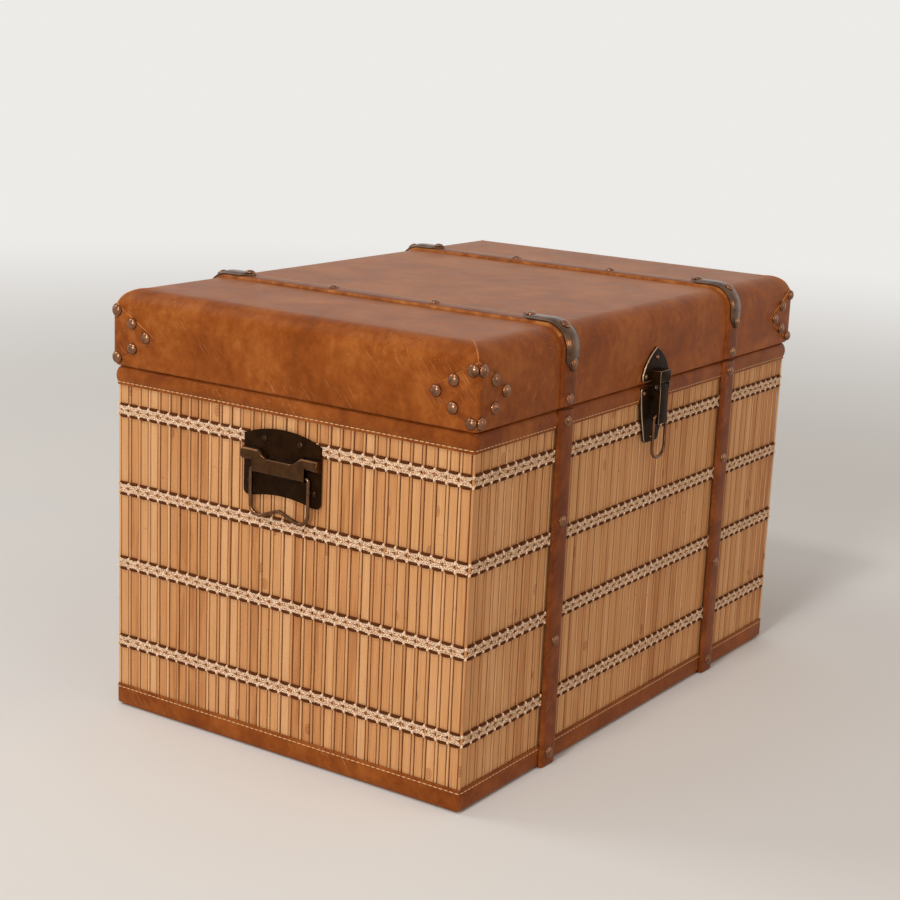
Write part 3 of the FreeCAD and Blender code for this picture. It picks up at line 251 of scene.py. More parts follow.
def strips(tree, given, kind, rounding, seed_shift, spread, rise=None):
    """Upright strips in a row, each a little out of line and with a tone of its own."""
    seed = add(tree, "ShaderNodeMath", {0: given["Seed"], 1: float(seed_shift)}, operation="ADD")
    jitter, lean, size = [
        add(tree, "FunctionNodeRandomValue", {0: least, 1: most, "Seed": seed}, data_type="FLOAT_VECTOR")
        for least, most in (((-spread, 0, 0), (spread, spread * 0.6, 0)), ((0, -0.0012, 0), (0, 0.0012, 0)),
                            ((0.96, 0.97, 1), (1.04, 1.0, 1)))]
    row = row_of(tree, given, kind + "s")
    moved = add(tree, "GeometryNodeSetPosition", {"Geometry": row, "Offset": jitter})
    section = add(tree, "GeometryNodeCurvePrimitiveQuadrilateral", {
        "Width": given[kind + " Width"], "Height": given[kind + " Thickness"]})
    eased = add(tree, "GeometryNodeFilletCurve", {"Curve": section, "Count": 3, "Radius": given[rounding],
                                                  "Limit Radius": True}, mode="POLY")
    top = add(tree, "ShaderNodeCombineXYZ", {"Z": given["Height"]})
    upright = add(tree, "GeometryNodeCurvePrimitiveLine", {"End": top})
    spine = add(tree, "GeometryNodeResampleCurve", {"Curve": upright, "Count": 12})
    strip = add(tree, "GeometryNodeCurveToMesh", {"Curve": spine, "Profile Curve": eased, "Fill Caps": True})
    placed = add(tree, "GeometryNodeInstanceOnPoints", {"Points": moved, "Instance": strip,
                                                        "Rotation": lean, "Scale": size})
    tone = add(tree, "FunctionNodeRandomValue", {2: 0.0, 3: 1.0, "Seed": seed})
    toned = add(tree, "GeometryNodeStoreNamedAttribute", {"Geometry": placed, "Name": "tone",
                                                          "Value": tone.outputs[1]}, domain="INSTANCE")
    solid = add(tree, "GeometryNodeRealizeInstances", {"Geometry": toned})
    # The strips' edges wander every 6 mm across the wall and every 26 mm of height.
    spot = add(tree, "ShaderNodeVectorMath", {0: add(tree, "GeometryNodeInputPosition"), 1: (170, 0, 38)},
               operation="MULTIPLY")
    wander = add(tree, "ShaderNodeTexNoise", {"Vector": spot, "Scale": 1.0, "Detail": 2.0})
    centred = add(tree, "ShaderNodeMath", {0: wander, 1: 0.5}, operation="SUBTRACT")
    sideways = add(tree, "ShaderNodeMath", {0: centred, 1: given["Waviness"]}, operation="MULTIPLY")
    shift = {"X": sideways}
    if rise:
        shift["Y"] = scaled(tree, given[rise], -1.0)
    uneven = add(tree, "GeometryNodeSetPosition", {"Geometry": solid,
                                                   "Offset": add(tree, "ShaderNodeCombineXYZ", shift)})
    return add(tree, "GeometryNodeTransform", {"Geometry": uneven, "Translation": given["Place"],
                                               "Rotation": given["Facing"]}).outputs[0]


slat_row = strips(matting, given, "Slat", "Edge Rounding", 0, 0.00014)
stick_row = strips(matting, given, "Stick", "Stick Rounding", 7, 0.00016, "Stick Rise")
ends_in(matting, (slat_row, slat_bamboo), (stick_row, stick_bamboo))

# Distances from the middle to the outside of the leather bands, and how far the boards, the long mats' ends
# and the end mats' ends stand back from there. The end mats lap the corners with a stick at each end.
HALF_LENGTH, HALF_WIDTH = 0.3, 0.198
BOARDS_IN, LONG_MAT_IN, END_MAT_IN = 0.0039, 0.0029, 0.0019
LONG_MAT = dict(face=HALF_WIDTH - BOARDS_IN, span=2 * (HALF_LENGTH - LONG_MAT_IN), slats=48, sticks=47)
END_MAT = dict(face=HALF_LENGTH - BOARDS_IN, span=2 * (HALF_WIDTH - END_MAT_IN), slats=32, sticks=33)
WALLS = {"front": dict(LONG_MAT, angle=0.0), "back": dict(LONG_MAT, angle=math.pi),
         "left": dict(END_MAT, angle=-math.pi / 2), "right": dict(END_MAT, angle=math.pi / 2)}


def on_wall(wall, stand, z):
    """Where a tree's middle goes, at a distance outside a wall's boards, and how it is turned to face out."""
    reach = wall["face"] + stand
    return {"Place": (math.sin(wall["angle"]) * reach, -math.cos(wall["angle"]) * reach, z),
            "Facing": (0, 0, wall["angle"]), "Slats": wall["slats"], "Pitch": wall["span"] / wall["slats"]}


MAT = {"Slat Width": 0.0080, "Slat Thickness": 0.002, "Edge Rounding": 0.0006, "Stick Width": 0.0023,
       "Stick Thickness": 0.0022, "Stick Rise": 0.0003, "Stick Rounding": 0.0007, "Height": 0.3266,
       "Waviness": 0.0011}
MAT_FOOT = 0.0035
for seed, (side, wall) in enumerate(WALLS.items(), start=11):
    piece = grown("mat_%s_slats" % side, matting, {
        **MAT, **on_wall(wall, MAT["Slat Thickness"] / 2, MAT_FOOT), "Sticks": wall["sticks"], "Seed": seed})
    fit(piece, "chest", "bamboo", "mat_" + side)


# Woven bands: four times on each face a cream braid runs over the slats between two brown cords. The
# cords are waxed cotton. The braid is four twisted cotton yarns that lie side by side over a slat and are
# knotted in pairs round the next stick, so that a small oval of the stick shows between two knots.
def yarn(name, dark, light, thread_mm, rough):
    """Twisted cotton: fine slanting plies, with painted shade in the grooves between them, where their bump
    is low.
    """
    made, tree, shader, coordinates = material(name, Roughness=rough, Specular_IOR_Level=0.1)
    plies = grain(tree, coordinates, thread_mm, 4, (1, 1, 1.6), 0.65, 0.6)
    tinted(tree, shader, plies, (0.32, dark), (0.62, light))
    raised(tree, shader, plies, thread_mm * 0.3)
    return made


waxed_cord = yarn("waxed brown cotton cord", "#3c1a07", "#66320d", 0.7, 0.7)
cotton_yarn = yarn("loose cream cotton yarn", "#d8a880", "#ffe6cc", 0.9, 0.9)
# The ground under the braid is a darker copy of the cream cotton: painted shade behind the braid.
ground_yarn_painted_shade = yarn("cream cotton ground under the braid", "#946238", "#c39566", 0.9, 0.95)

# Twisted yarn: pale plies with a brown line of painted shade between them, slanting across the yarn at half
# right angles.
twisted_yarn, tree, shader, coordinates = material("twisted cream cotton yarn", Roughness=0.9,
                                                   Specular_IOR_Level=0.2)
ply = add(tree, "ShaderNodeAttribute", attribute_name="ply").outputs["Fac"]
uneven = ranged(tree, grain(tree, coordinates, 2.5, 2), -0.6, 0.6)
turns = add(tree, "ShaderNodeMath", {0: ply, 1: uneven}, operation="ADD")
swell = add(tree, "ShaderNodeMath", {0: scaled(tree, turns, 2 * math.pi)}, operation="SINE")
fluff = grain(tree, coordinates, 0.6, 3)
mixed = add(tree, "ShaderNodeMath", {0: swell, 1: 0.5, 2: fluff}, operation="MULTIPLY_ADD")
tinted(tree, shader, mixed, (0.08, "#9c6438"), (0.3, "#d8a678"), (0.55, "#f6d2b0"), (0.95, "#ffead2"))
raised(tree, shader, mixed, 0.25)

weaving, given = geometry_tree(
    "woven bands", Slats="Int", Sticks="Int", Pitch="Float", Row_1="Float", Row_2="Float", Row_3="Float",
    Row_4="Float", Cord_Length="Float", Cord_Thickness="Float", Cord_Spacing="Float", Knot_Size="Float",
    Knot_Spacing="Float", Thread_Length="Float", Thread_Thickness="Float", Braid_Height="Float",
    Yarn_Thickness="Float", Lay="Float", Yarn_Density="Float", Place="Vector", Facing="Vector", Seed="Int")


def small_piece(tree, points, shape, seed, shake, turn, low, high):
    """Copies of a small piece on the points, each a little moved, turned and scaled."""
    jitter, tilt, size = [
        add(tree, "FunctionNodeRandomValue", {0: least, 1: most, "Seed": seed}, data_type="FLOAT_VECTOR")
        for least, most in ((tuple(-part for part in shake), shake), (tuple(-part for part in turn), turn),
                            ((low,) * 3, (high,) * 3))]
    moved = add(tree, "GeometryNodeSetPosition", {"Geometry": points, "Offset": jitter})
    return add(tree, "GeometryNodeInstanceOnPoints", {"Points": moved, "Instance": shape, "Rotation": tilt,
                                                      "Scale": size})


def joined(tree, *parts):
    """Several parts as one."""
    made = tree.nodes.new("GeometryNodeJoinGeometry")
    for part in parts:
        tree.links.new(part.outputs[0], made.inputs[0])
    return made


def moved_by(tree, part, **amounts):
    """A part moved by outlets or plain amounts along X, Y and Z."""
    return add(tree, "GeometryNodeTransform", {
        "Geometry": part, "Translation": add(tree, "ShaderNodeCombineXYZ", amounts)})


def paired(tree, part, spacing):
    """The part twice, one above the other, a distance apart."""
    half = scaled(tree, spacing, 0.5)
    return joined(tree, moved_by(tree, part, Z=half), moved_by(tree, part, Z=scaled(tree, half, -1.0)))


def short_length(tree, axis, length, thickness, sides, steps, bow, sunk=0.0, fall=0.0):
    """A short length of thread along an axis, bowed in the middle, and sunk or thinner at both ends."""
    half = scaled(tree, length, 0.5)
    line = add(tree, "GeometryNodeCurveQuadraticBezier", {
        "Resolution": steps, "Middle": bow, "End": add(tree, "ShaderNodeCombineXYZ", {"Y": sunk, axis: half}),
        "Start": add(tree, "ShaderNodeCombineXYZ", {"Y": sunk, axis: scaled(tree, half, -1.0)})})
    section = add(tree, "GeometryNodeCurvePrimitiveCircle", {"Resolution": sides,
                                                             "Radius": scaled(tree, thickness, 0.5)})
    tube = {"Curve": line, "Profile Curve": section, "Fill Caps": True}
    if fall:
        along = add(tree, "GeometryNodeSplineParameter").outputs["Factor"]
        aside = add(tree, "ShaderNodeMath", {0: along, 1: 0.5}, operation="SUBTRACT")
        squared = add(tree, "ShaderNodeMath", {0: aside, 1: aside}, operation="MULTIPLY")
        tube["Scale"] = add(tree, "ShaderNodeMath", {0: squared, 1: -fall, 2: 1.0}, operation="MULTIPLY_ADD")
    return add(tree, "GeometryNodeCurveToMesh", tube)


# Cord over each slat: a short bowed length, thinner at the ends where it dips behind the sticks.
slat_points = row_of(weaving, given, "Slats")
stick_points = row_of(weaving, given, "Sticks")
cord = short_length(weaving, "X", given["Cord Length"], given["Cord Thickness"], 7, 4, (0, -0.0007, -0.0003),
                    fall=0.75)
cords = small_piece(weaving, slat_points, cord, 3, (0.00015, 0.0001, 0.0002), (0.05, 0.02, 0.02), 0.96, 1.04)
cord_rows = paired(weaving, cords, given["Cord Spacing"])

# Knots on the sticks.
ball = add(weaving, "GeometryNodeMeshUVSphere", {"Segments": 8, "Rings": 5,
                                                 "Radius": scaled(weaving, given["Knot Size"], 0.5)})
knot = add(weaving, "GeometryNodeTransform", {"Geometry": ball, "Scale": (0.9, 1.3, 0.85),
                                              "Rotation": (math.pi / 2, 0, 0)})
knots = small_piece(weaving, stick_points, knot, 5, (0.0002, 0.0001, 0.0002), (0.4, 0.4, 0.4), 0.9, 1.12)
knot_rows = paired(weaving, moved_by(weaving, knots, Y=-0.0004), given["Knot Spacing"])


# Four yarns over each slat, drawn apart in pairs towards the knots.
def twisted(tree, end_share, middle_share, lay):
    """A yarn from stick to stick, at shares of half the braid's height, with its place along the twist."""
    high = scaled(tree, given["Braid Height"], 0.5)
    half = scaled(tree, given["Pitch"], 0.5)
    near = scaled(tree, given["Pitch"], 0.27)
    ends, middle = scaled(tree, high, end_share), scaled(tree, high, middle_share)

    def point(x, z, side, y):
        return add(tree, "ShaderNodeCombineXYZ", {"X": scaled(tree, x, side), "Y": y, "Z": z})

    line = add(tree, "GeometryNodeCurvePrimitiveBezierSegment", {
        "Resolution": 8, "Start": point(half, ends, -1.0, 0.0), "End": point(half, ends, 1.0, 0.0),
        "Start Handle": point(near, middle, -1.0, -0.0002), "End Handle": point(near, middle, 1.0, -0.0002)},
               mode="POSITION")
    heart = add(tree, "GeometryNodeStoreNamedAttribute", {
        "Geometry": line, "Name": "heart", "Value": add(tree, "GeometryNodeInputPosition")},
                data_type="FLOAT_VECTOR", domain="POINT")
    section = add(tree, "GeometryNodeCurvePrimitiveCircle", {
        "Resolution": 6, "Radius": scaled(tree, given["Yarn Thickness"], 0.5)})
    tube = add(tree, "GeometryNodeCurveToMesh", {"Curve": heart, "Profile Curve": section, "Fill Caps": True})
    kept_heart = add(tree, "GeometryNodeInputNamedAttribute", {"Name": "heart"}, data_type="FLOAT_VECTOR")
    inside = add(tree, "ShaderNodeSeparateXYZ", {0: kept_heart})
    here = add(tree, "ShaderNodeSeparateXYZ", {0: add(tree, "GeometryNodeInputPosition")})
    aside = add(tree, "ShaderNodeMath", {0: here.outputs["Z"], 1: inside.outputs["Z"]}, operation="SUBTRACT")
    slanted = add(tree, "ShaderNodeMath", {0: aside, 1: lay, 2: inside.outputs["X"]},
                  operation="MULTIPLY_ADD")
    turn_of = add(tree, "ShaderNodeMath", {0: slanted, 1: given["Lay"]}, operation="DIVIDE")
    return add(tree, "GeometryNodeStoreNamedAttribute", {"Geometry": tube, "Name": "ply", "Value": turn_of},
               data_type="FLOAT", domain="POINT")


yarns = joined(weaving, *[twisted(weaving, ends, middle, lay) for ends, middle, lay in (
    (0.98, 0.72, 1.0), (0.92, 0.03, 1.0), (-0.92, -0.03, -1.0), (-0.98, -0.72, -1.0))])
braids = small_piece(weaving, slat_points, yarns, 8, (0.0001, 0.0001, 0.00015), (0.0, 0.02, 0.0), 0.98, 1.03)

# Loose ends of yarn lie every way between them, and leave an oval of each stick bare. Its half width is
# a share of the pitch, its half height is in metres.
OVAL_HALF_WIDTH, OVAL_HALF_HEIGHT = 1 / 6.4, 1 / 620
band_length = add(weaving, "ShaderNodeMath", {0: given["Slats"], 1: given["Pitch"]}, operation="MULTIPLY")
plane = add(weaving, "GeometryNodeMeshGrid", {"Size X": band_length, "Size Y": given["Braid Height"],
                                              "Vertices X": 2, "Vertices Y": 2})
stood = add(weaving, "GeometryNodeTransform", {"Geometry": plane, "Rotation": (math.pi / 2, 0, 0)})
scattered = add(weaving, "GeometryNodeDistributePointsOnFaces", {
    "Mesh": stood, "Density": given["Yarn Density"], "Seed": given["Seed"]})
spot = add(weaving, "ShaderNodeSeparateXYZ", {0: add(weaving, "GeometryNodeInputPosition")})
pitches = add(weaving, "ShaderNodeMath", {0: spot.outputs["X"], 1: given["Pitch"]}, operation="DIVIDE")
parity = add(weaving, "ShaderNodeMath", {0: scaled(weaving, given["Slats"], 0.5)}, operation="FRACT")
counted = add(weaving, "ShaderNodeMath", {0: pitches, 1: parity})
from_stick = add(weaving, "ShaderNodeMath", {0: counted, 1: 0.5, 2: -0.5}, operation="WRAP")
across = scaled(weaving, from_stick, 1 / OVAL_HALF_WIDTH)
upward = scaled(weaving, spot.outputs["Z"], 1 / OVAL_HALF_HEIGHT)
squares = [add(weaving, "ShaderNodeMath", {0: part, 1: part}, operation="MULTIPLY")
           for part in (across, upward)]
reach = add(weaving, "ShaderNodeMath", {0: squares[0], 1: squares[1]})
bare = add(weaving, "FunctionNodeCompare", {0: reach, 1: 1.0}, data_type="FLOAT", operation="LESS_THAN")
kept = add(weaving, "GeometryNodeDeleteGeometry", {"Geometry": scattered.outputs["Points"],
                                                   "Selection": bare}, domain="POINT")
side_of = add(weaving, "FunctionNodeRandomValue", {4: 0, 5: 1, "Seed": 12}, data_type="INT")
lean = add(weaving, "FunctionNodeRandomValue", {2: 0.35, 3: 1.1, "Seed": 13})
sign = add(weaving, "ShaderNodeMath", {0: side_of.outputs[2], 1: 2.0, 2: -1.0}, operation="MULTIPLY_ADD")
slope = add(weaving, "ShaderNodeMath", {0: lean.outputs[1], 1: sign}, operation="MULTIPLY")
loose_end = short_length(weaving, "X", given["Thread Length"], given["Thread Thickness"], 5, 2,
                         (0, -0.0008, 0), sunk=0.0005)
loose = add(weaving, "GeometryNodeInstanceOnPoints", {
    "Points": kept, "Instance": loose_end, "Rotation": add(weaving, "ShaderNodeCombineXYZ", {"Y": slope})})
loose = moved_by(weaving, loose, Y=-0.0007)

# A ground of flat yarn behind the braid, coloured darker than the cream yarn as painted shade where it lies
# in the braid's shadow.
ground_size = add(weaving, "ShaderNodeCombineXYZ", {
    "X": scaled(weaving, given["Cord Length"], 0.9), "Y": 0.0006,
    "Z": scaled(weaving, given["Braid Height"], 0.95)})
ground_flat = add(weaving, "GeometryNodeMeshCube", {"Size": ground_size})
grounds = small_piece(weaving, slat_points, ground_flat, 9, (0.0002, 0.0, 0.0002), (0.0, 0.02, 0.0),
                      0.96, 1.02)
grounds = moved_by(weaving, grounds, Y=0.0004)


def four_rows(tree, part):
    """The part repeated at the four heights, and set against its wall."""
    rows = [moved_by(tree, part, Z=given["Row %d" % number]) for number in (1, 2, 3, 4)]
    return add(tree, "GeometryNodeTransform", {"Geometry": joined(tree, *rows), "Translation": given["Place"],
                                               "Rotation": given["Facing"]}).outputs[0]


ends_in(weaving, *[(four_rows(weaving, part), finish) for part, finish in (
    (cord_rows, waxed_cord), (knot_rows, cotton_yarn), (braids, twisted_yarn), (loose, cotton_yarn),
    (grounds, ground_yarn_painted_shade))])
BAND = {"Row 1": 0.0659, "Row 2": 0.1434, "Row 3": 0.2160, "Row 4": 0.2906, "Cord Length": 0.0084,
        "Cord Thickness": 0.0026, "Cord Spacing": 0.0111, "Knot Size": 0.0028, "Knot Spacing": 0.0086,
        "Yarn Thickness": 0.0021, "Lay": 0.0022, "Thread Length": 0.0030, "Thread Thickness": 0.0006,
        "Braid Height": 0.0073, "Yarn Density": 60000.0}
BAND_STAND = 0.0029
for seed, (side, wall) in enumerate(WALLS.items(), start=31):
    piece = grown("weave_%s_yarn" % side, weaving, {
        **BAND, **on_wall(wall, BAND_STAND, 0), "Sticks": wall["slats"] - 1, "Seed": seed})
    fit(piece, "chest", "braid", "weave_" + side)


def merged(name, parts):
    """Several mesh objects as one."""
    work = bmesh.new()
    for part in parts:
        work.from_mesh(part.data)
    work.to_mesh(parts[0].data)
    work.free()
    for part in parts[1:]:
        bpy.data.objects.remove(part)
    parts[0].name = name
    return parts[0]


# The bands run on round the corners, with two knots on each corner's stick.
corners = []
for seed, (x, y, angle) in enumerate(((-1, -1, -45), (1, -1, 45), (1, 1, 135), (-1, 1, 225)), start=41):
    corners.append(grown("weave_corner_knots", weaving, {
        **BAND, "Slats": 0, "Sticks": 1, "Pitch": 0.0123, "Facing": (0, 0, math.radians(angle)), "Seed": seed,
        "Knot Size": 0.0029, "Place": (x * (HALF_LENGTH - END_MAT_IN), y * (HALF_WIDTH - 0.0009), 0)}))
fit(merged("weave_corner_knots", corners), "chest", "braid")


# Leather bands: one folded over the walls' top edge, one round the foot and turned under. Corrected
# grain leather over a soft backing, dyed cognac and waxed: a fine pebbled grain, a cloudy tone, a few
# paler scuffs, and a single row of stitches near each band's open edge.
def shape(name, vertices, faces, finish, smooth_angle=40):
    """A mesh object from points in metres, its faces turned outwards and shaded smooth up to an angle."""
    mesh = bpy.data.meshes.new(name)
    mesh.from_pydata([tuple(point) for point in vertices], [], faces)
    work = bmesh.new()
    work.from_mesh(mesh)
    bmesh.ops.remove_doubles(work, verts=work.verts, dist=1e-6)
    bmesh.ops.recalc_face_normals(work, faces=work.faces)
    work.to_mesh(mesh)
    work.free()
    mesh.shade_smooth()
    mesh.set_sharp_from_angle(angle=math.radians(smooth_angle))
    piece = put(name, mesh)
    dress(piece, finish)
    return piece


def between(rings, closed_round=True, closed_along=False, caps=True):
    """Vertices and faces between rings of equally many points."""
    count = len(rings[0])
    vertices = [point for ring in rings for point in ring]
    faces = []
    for here in range(len(rings) if closed_along else len(rings) - 1):
        low, high = here * count, (here + 1) % len(rings) * count
        for spot in range(count if closed_round else count - 1):
            beside = (spot + 1) % count
            faces.append((low + spot, low + beside, high + beside, high + spot))
    if caps and not closed_along:
        faces.append(tuple(range(count)))
        faces.append(tuple(range((len(rings) - 1) * count, len(rings) * count)))
    return vertices, faces


def around_box(half_x, half_y, radius, z, steps=5, spans=(24, 16)):
    """A level ring round a box with rounded corners, its sides cut into even spans."""
    points = []
    centres = ((half_x - radius, half_y - radius, 0), (radius - half_x, half_y - radius, 90),
               (radius - half_x, radius - half_y, 180), (half_x - radius, radius - half_y, 270))
    for index, (x, y, start) in enumerate(centres):
        for step in range(steps + 1):
            turn = math.radians(start + 90 * step / steps)
            points.append(Vector((x + radius * math.cos(turn), y + radius * math.sin(turn), z)))
        following = centres[(index + 1) % 4]
        turn = math.radians(start + 90)
        end = Vector((following[0] + radius * math.cos(turn), following[1] + radius * math.sin(turn), z))
        begin = points[-1]
        for step in range(1, spans[index % 2]):
            points.append(begin.lerp(end, step / spans[index % 2]))
    return points


def leather(name, dark, middle, light, rough=(0.34, 0.46), cloud_mm=45):
    """Dyed and waxed grain leather: cloudy tone, fine pebble, small creases and a few pale scuffs."""
    made, tree, shader, coordinates = material(name, Specular_IOR_Level=0.09, Sheen_Weight=0.42,
                                               Sheen_Roughness=0.22, Sheen_Tint=linear("#ffd8b4"))
    clouds = grain(tree, coordinates, cloud_mm, 4, (1, 1, 1), 0.6, 0.4)
    mottle = grain(tree, coordinates, 9, 3, (1, 1, 1), 0.6)
    blend = add(tree, "ShaderNodeMath", {0: mottle, 1: 0.35, 2: scaled(tree, clouds, 0.65)},
                operation="MULTIPLY_ADD")
    tones = ((0.38, dark), (0.5, middle), (0.62, light))
    ramp = add(tree, "ShaderNodeValToRGB", {"Fac": blend}, stops=tones)

    # Scuffs run slantwise, each way of facing with its own slant, in a few areas only.
    facing = add(tree, "ShaderNodeSeparateXYZ", {0: add(tree, "ShaderNodeTexCoord").outputs["Normal"]})
    on_end, on_front, on_top = [add(tree, "ShaderNodeMath", {
        0: add(tree, "ShaderNodeMath", {0: facing.outputs[axis]}, operation="ABSOLUTE"), 1: 0.6},
        operation="GREATER_THAN") for axis in range(3)]
    turn_x, turn_y = [
        add(tree, "ShaderNodeMath", {0: on_top, 1: lying, 2: scaled(tree, side, upright)},
            operation="MULTIPLY_ADD")
        for lying, side, upright in ((math.pi / 2, on_end, 0.7), (0.9, on_front, -0.6))]
    slant = add(tree, "ShaderNodeCombineXYZ", {"X": turn_x, "Y": turn_y})
    slanted = add(tree, "ShaderNodeMapping", {"Vector": coordinates, "Rotation": slant})
    scuffs = grain(tree, slanted, 0.7, 2, (1, 1, 36), 0.5)
    areas = grain(tree, coordinates, 70, 2)
    shown = add(tree, "ShaderNodeMath", {0: ranged(tree, scuffs, 0.0, 1.0, 0.64, 0.75),
                                         1: ranged(tree, areas, 0.0, 0.75, 0.46, 0.6)}, operation="MULTIPLY")
    scuffed = add(tree, "ShaderNodeMix", {0: shown, 6: ramp, 7: linear("#d39a68")}, data_type="RGBA")
    tree.links.new(scuffed.outputs[2], shader.inputs["Base Color"])
    tree.links.new(ranged(tree, mottle, *rough), shader.inputs["Roughness"])

    pebble = add(tree, "ShaderNodeTexVoronoi", {"Vector": add(tree, "ShaderNodeMapping", {
        "Vector": coordinates, "Scale": (1 / 0.0011,) * 3}), "Scale": 1.0, "Randomness": 0.9})
    creases = grain(tree, coordinates, 2.6, 5, (1, 1, 1), 0.7, 1.2)
    coarse = add(tree, "ShaderNodeBump", {"Strength": 0.2, "Distance": 0.0012, "Height": clouds})
    fine = add(tree, "ShaderNodeBump", {"Strength": 0.3, "Distance": 0.00025, "Height": creases,
                                        "Normal": coarse.outputs[0]})
    raised(tree, shader, pebble.outputs["Distance"], 0.12, 0.3, fine.outputs[0])
    return made


band_leather = leather("waxed cognac band leather", "#793b12", "#8a4818", "#9a5521")
linen_thread = yarn("waxed linen stitching thread", "#c08a58", "#f0cc9c", 0.3, 0.6)


def banded(name, node, section, corner):
    """A leather band round the trunk, from a section of (distance outside the trunk's faces, height)."""
    rings = [around_box(HALF_LENGTH + out, HALF_WIDTH + out, max(0.0008, corner + out), z)
             for out, z in section]
    fit(shape(name, *between(rings, closed_along=True, caps=False), band_leather), "chest", "leather", node)


banded("rim_band_leather", "rim_band", [
    (-0.0010, 0.3143), (-0.0003, 0.3140), (0.0003, 0.3143), (0.0006, 0.3152), (0.0004, 0.3162),
    (0.0001, 0.3170), (0.0007, 0.3178), (0.0014, 0.3194), (0.0018, 0.3219), (0.0017, 0.3246),
    (0.0010, 0.3272), (-0.0004, 0.3297), (-0.0026, 0.3315), (-0.0080, 0.3316), (-0.0137, 0.3314),
    (-0.0142, 0.3306), (-0.0144, 0.3290), (-0.0144, 0.3138), (-0.0129, 0.3138), (-0.0129, 0.3301),
    (-0.0018, 0.3301), (-0.0016, 0.3143)], 0.0028)
banded("bottom_band_leather", "bottom_band", [
    (-0.0012, 0.0217), (-0.0004, 0.0218), (0.0, 0.0213), (0.0001, 0.0195), (0.0, 0.0100), (0.0, 0.0040),
    (-0.0006, 0.0026), (-0.0020, 0.0020), (-0.0200, 0.0020), (-0.0200, 0.0034), (-0.0018, 0.0034),
    (-0.0015, 0.0060)], 0.0025)

# Stitches: short lengths of waxed linen laid end to end in a row, 5.5 mm apart, thin at both ends.
stitching, given = geometry_tree("stitch row", Spacing="Float", Stitch_Length="Float", Thread="Float",
                                 Path="Object")
guide = add(stitching, "GeometryNodeObjectInfo", {"Object": given["Path"]}).outputs["Geometry"]
stops = add(stitching, "GeometryNodeCurveToPoints", {
    "Curve": add(stitching, "GeometryNodeMeshToCurve", {"Mesh": guide}), "Length": given["Spacing"]},
            mode="LENGTH")
stitch = short_length(stitching, "Z", given["Stitch Length"], given["Thread"], 6, 4, (0, 0, 0), fall=2.6)
sewn = add(stitching, "GeometryNodeInstanceOnPoints", {"Points": stops.outputs["Points"], "Instance": stitch,
                                                       "Rotation": stops.outputs["Rotation"]})
ends_in(stitching, (sewn.outputs[0], linen_thread))
STITCH = {"Spacing": 0.0055, "Stitch Length": 0.0045, "Thread": 0.0010}


def sew(name, stand, corner, z):
    """A row of stitches round the trunk, at a distance outside its faces."""
    points = around_box(HALF_LENGTH + stand, HALF_WIDTH + stand, corner, z)
    mesh = bpy.data.meshes.new(name + "_line")
    edges = [(spot, (spot + 1) % len(points)) for spot in range(len(points))]
    mesh.from_pydata([tuple(point) for point in points], edges, [])
    line = put(name + "_line", mesh)
    piece = grown(name, stitching, {**STITCH, "Path": line})
    bpy.data.objects.remove(line)
    fit(piece, "chest", "braid")


sew("rim_stitches", 0.0003, 0.0030, 0.3168)
sew("bottom_stitches", 0.0001, 0.0026, 0.0188)


# Straps: strips of thick belt leather, 25 mm wide, glued and nailed up the body and over the lid. Their long
# edges are pared and burnished; only on the lid's top are they coloured paler, a painted highlight where they
# catch the light.
def swept(name, path, section, finish, widths=None):
    """A strip along a path of (point, outward, across direction), from a section of (across, out)."""
    rings = []
    for index, (point, outward, across) in enumerate(path):
        share = widths[index] if widths else 1.0
        rings.append([point + across * (a * share) + outward * b for a, b in section])
    return shape(name, *between(rings), finish)


strap_leather = leather("burnished cognac strap leather", "#6a3211", "#7b3d15", "#8d4a1e", (0.32, 0.44), 30)
STRAP = [(-0.0125, 0.0), (-0.0125, 0.0012), (-0.0121, 0.0019), (-0.0106, 0.0027), (-0.0085, 0.0031),
         (-0.0040, 0.0033), (0.0040, 0.0033), (0.0085, 0.0031), (0.0106, 0.0027), (0.0121, 0.0019),
         (0.0125, 0.0012), (0.0125, 0.0)]
STRAP_MIDDLE, STRAP_FOOT, STRAP_HEIGHT = 0.16, 0.001, 0.329
CORNERS = [(x, y) for x in (-1, 1) for y in (-1, 1)]
parts = []
for side, turn in CORNERS:
    heights = [STRAP_FOOT + STRAP_HEIGHT * step / 24 for step in range(25)]
    path = [(Vector((STRAP_MIDDLE * side, turn * (HALF_WIDTH + 0.0006), z)), Vector((0, turn, 0)),
             Vector((turn, 0, 0))) for z in heights]
    parts.append(swept("strap", path, STRAP, strap_leather))
fit(merged("body_straps_leather", parts), "chest", "leather", "body_straps")

# The lid's widest halves, its seam with the body, its top, the round of its top edge and where that starts.
LID_HALF_LENGTH, LID_HALF_WIDTH, SEAM, LID_TOP, LID_ROUND = 0.3015, 0.1995, 0.332, 0.403, 0.02
ROUND_START = LID_TOP - LID_ROUND


def over_lid(stand, x, start_z, end_y, bend_steps=10, flat_steps=14, side_steps=5):
    """A path up the lid's front, round its top edge and back over the top, at a distance from the leather."""
    side = Vector((1, 0, 0))
    front = LID_ROUND - LID_HALF_WIDTH
    path = []
    for step in range(side_steps):
        z = start_z + (ROUND_START - start_z) * step / side_steps
        path.append((Vector((x, -LID_HALF_WIDTH - stand, z)), Vector((0, -1, 0)), side))
    for step in range(bend_steps + 1):
        turn = math.pi / 2 * step / bend_steps
        outward = Vector((0, -math.cos(turn), math.sin(turn)))
        path.append((Vector((x, front, ROUND_START)) + outward * (LID_ROUND + stand), outward, side))
    for step in range(1, flat_steps + 1):
        y = front + (end_y - front) * step / flat_steps
        path.append((Vector((x, y, LID_TOP + stand)), Vector((0, 0, 1)), side))
    return path


def turned_back(path):
    """The same path on the back half, in reverse order."""
    turn = Matrix.Diagonal((1, -1, 1))
    return [(turn @ point, turn @ outward, across) for point, outward, across in reversed(path)]


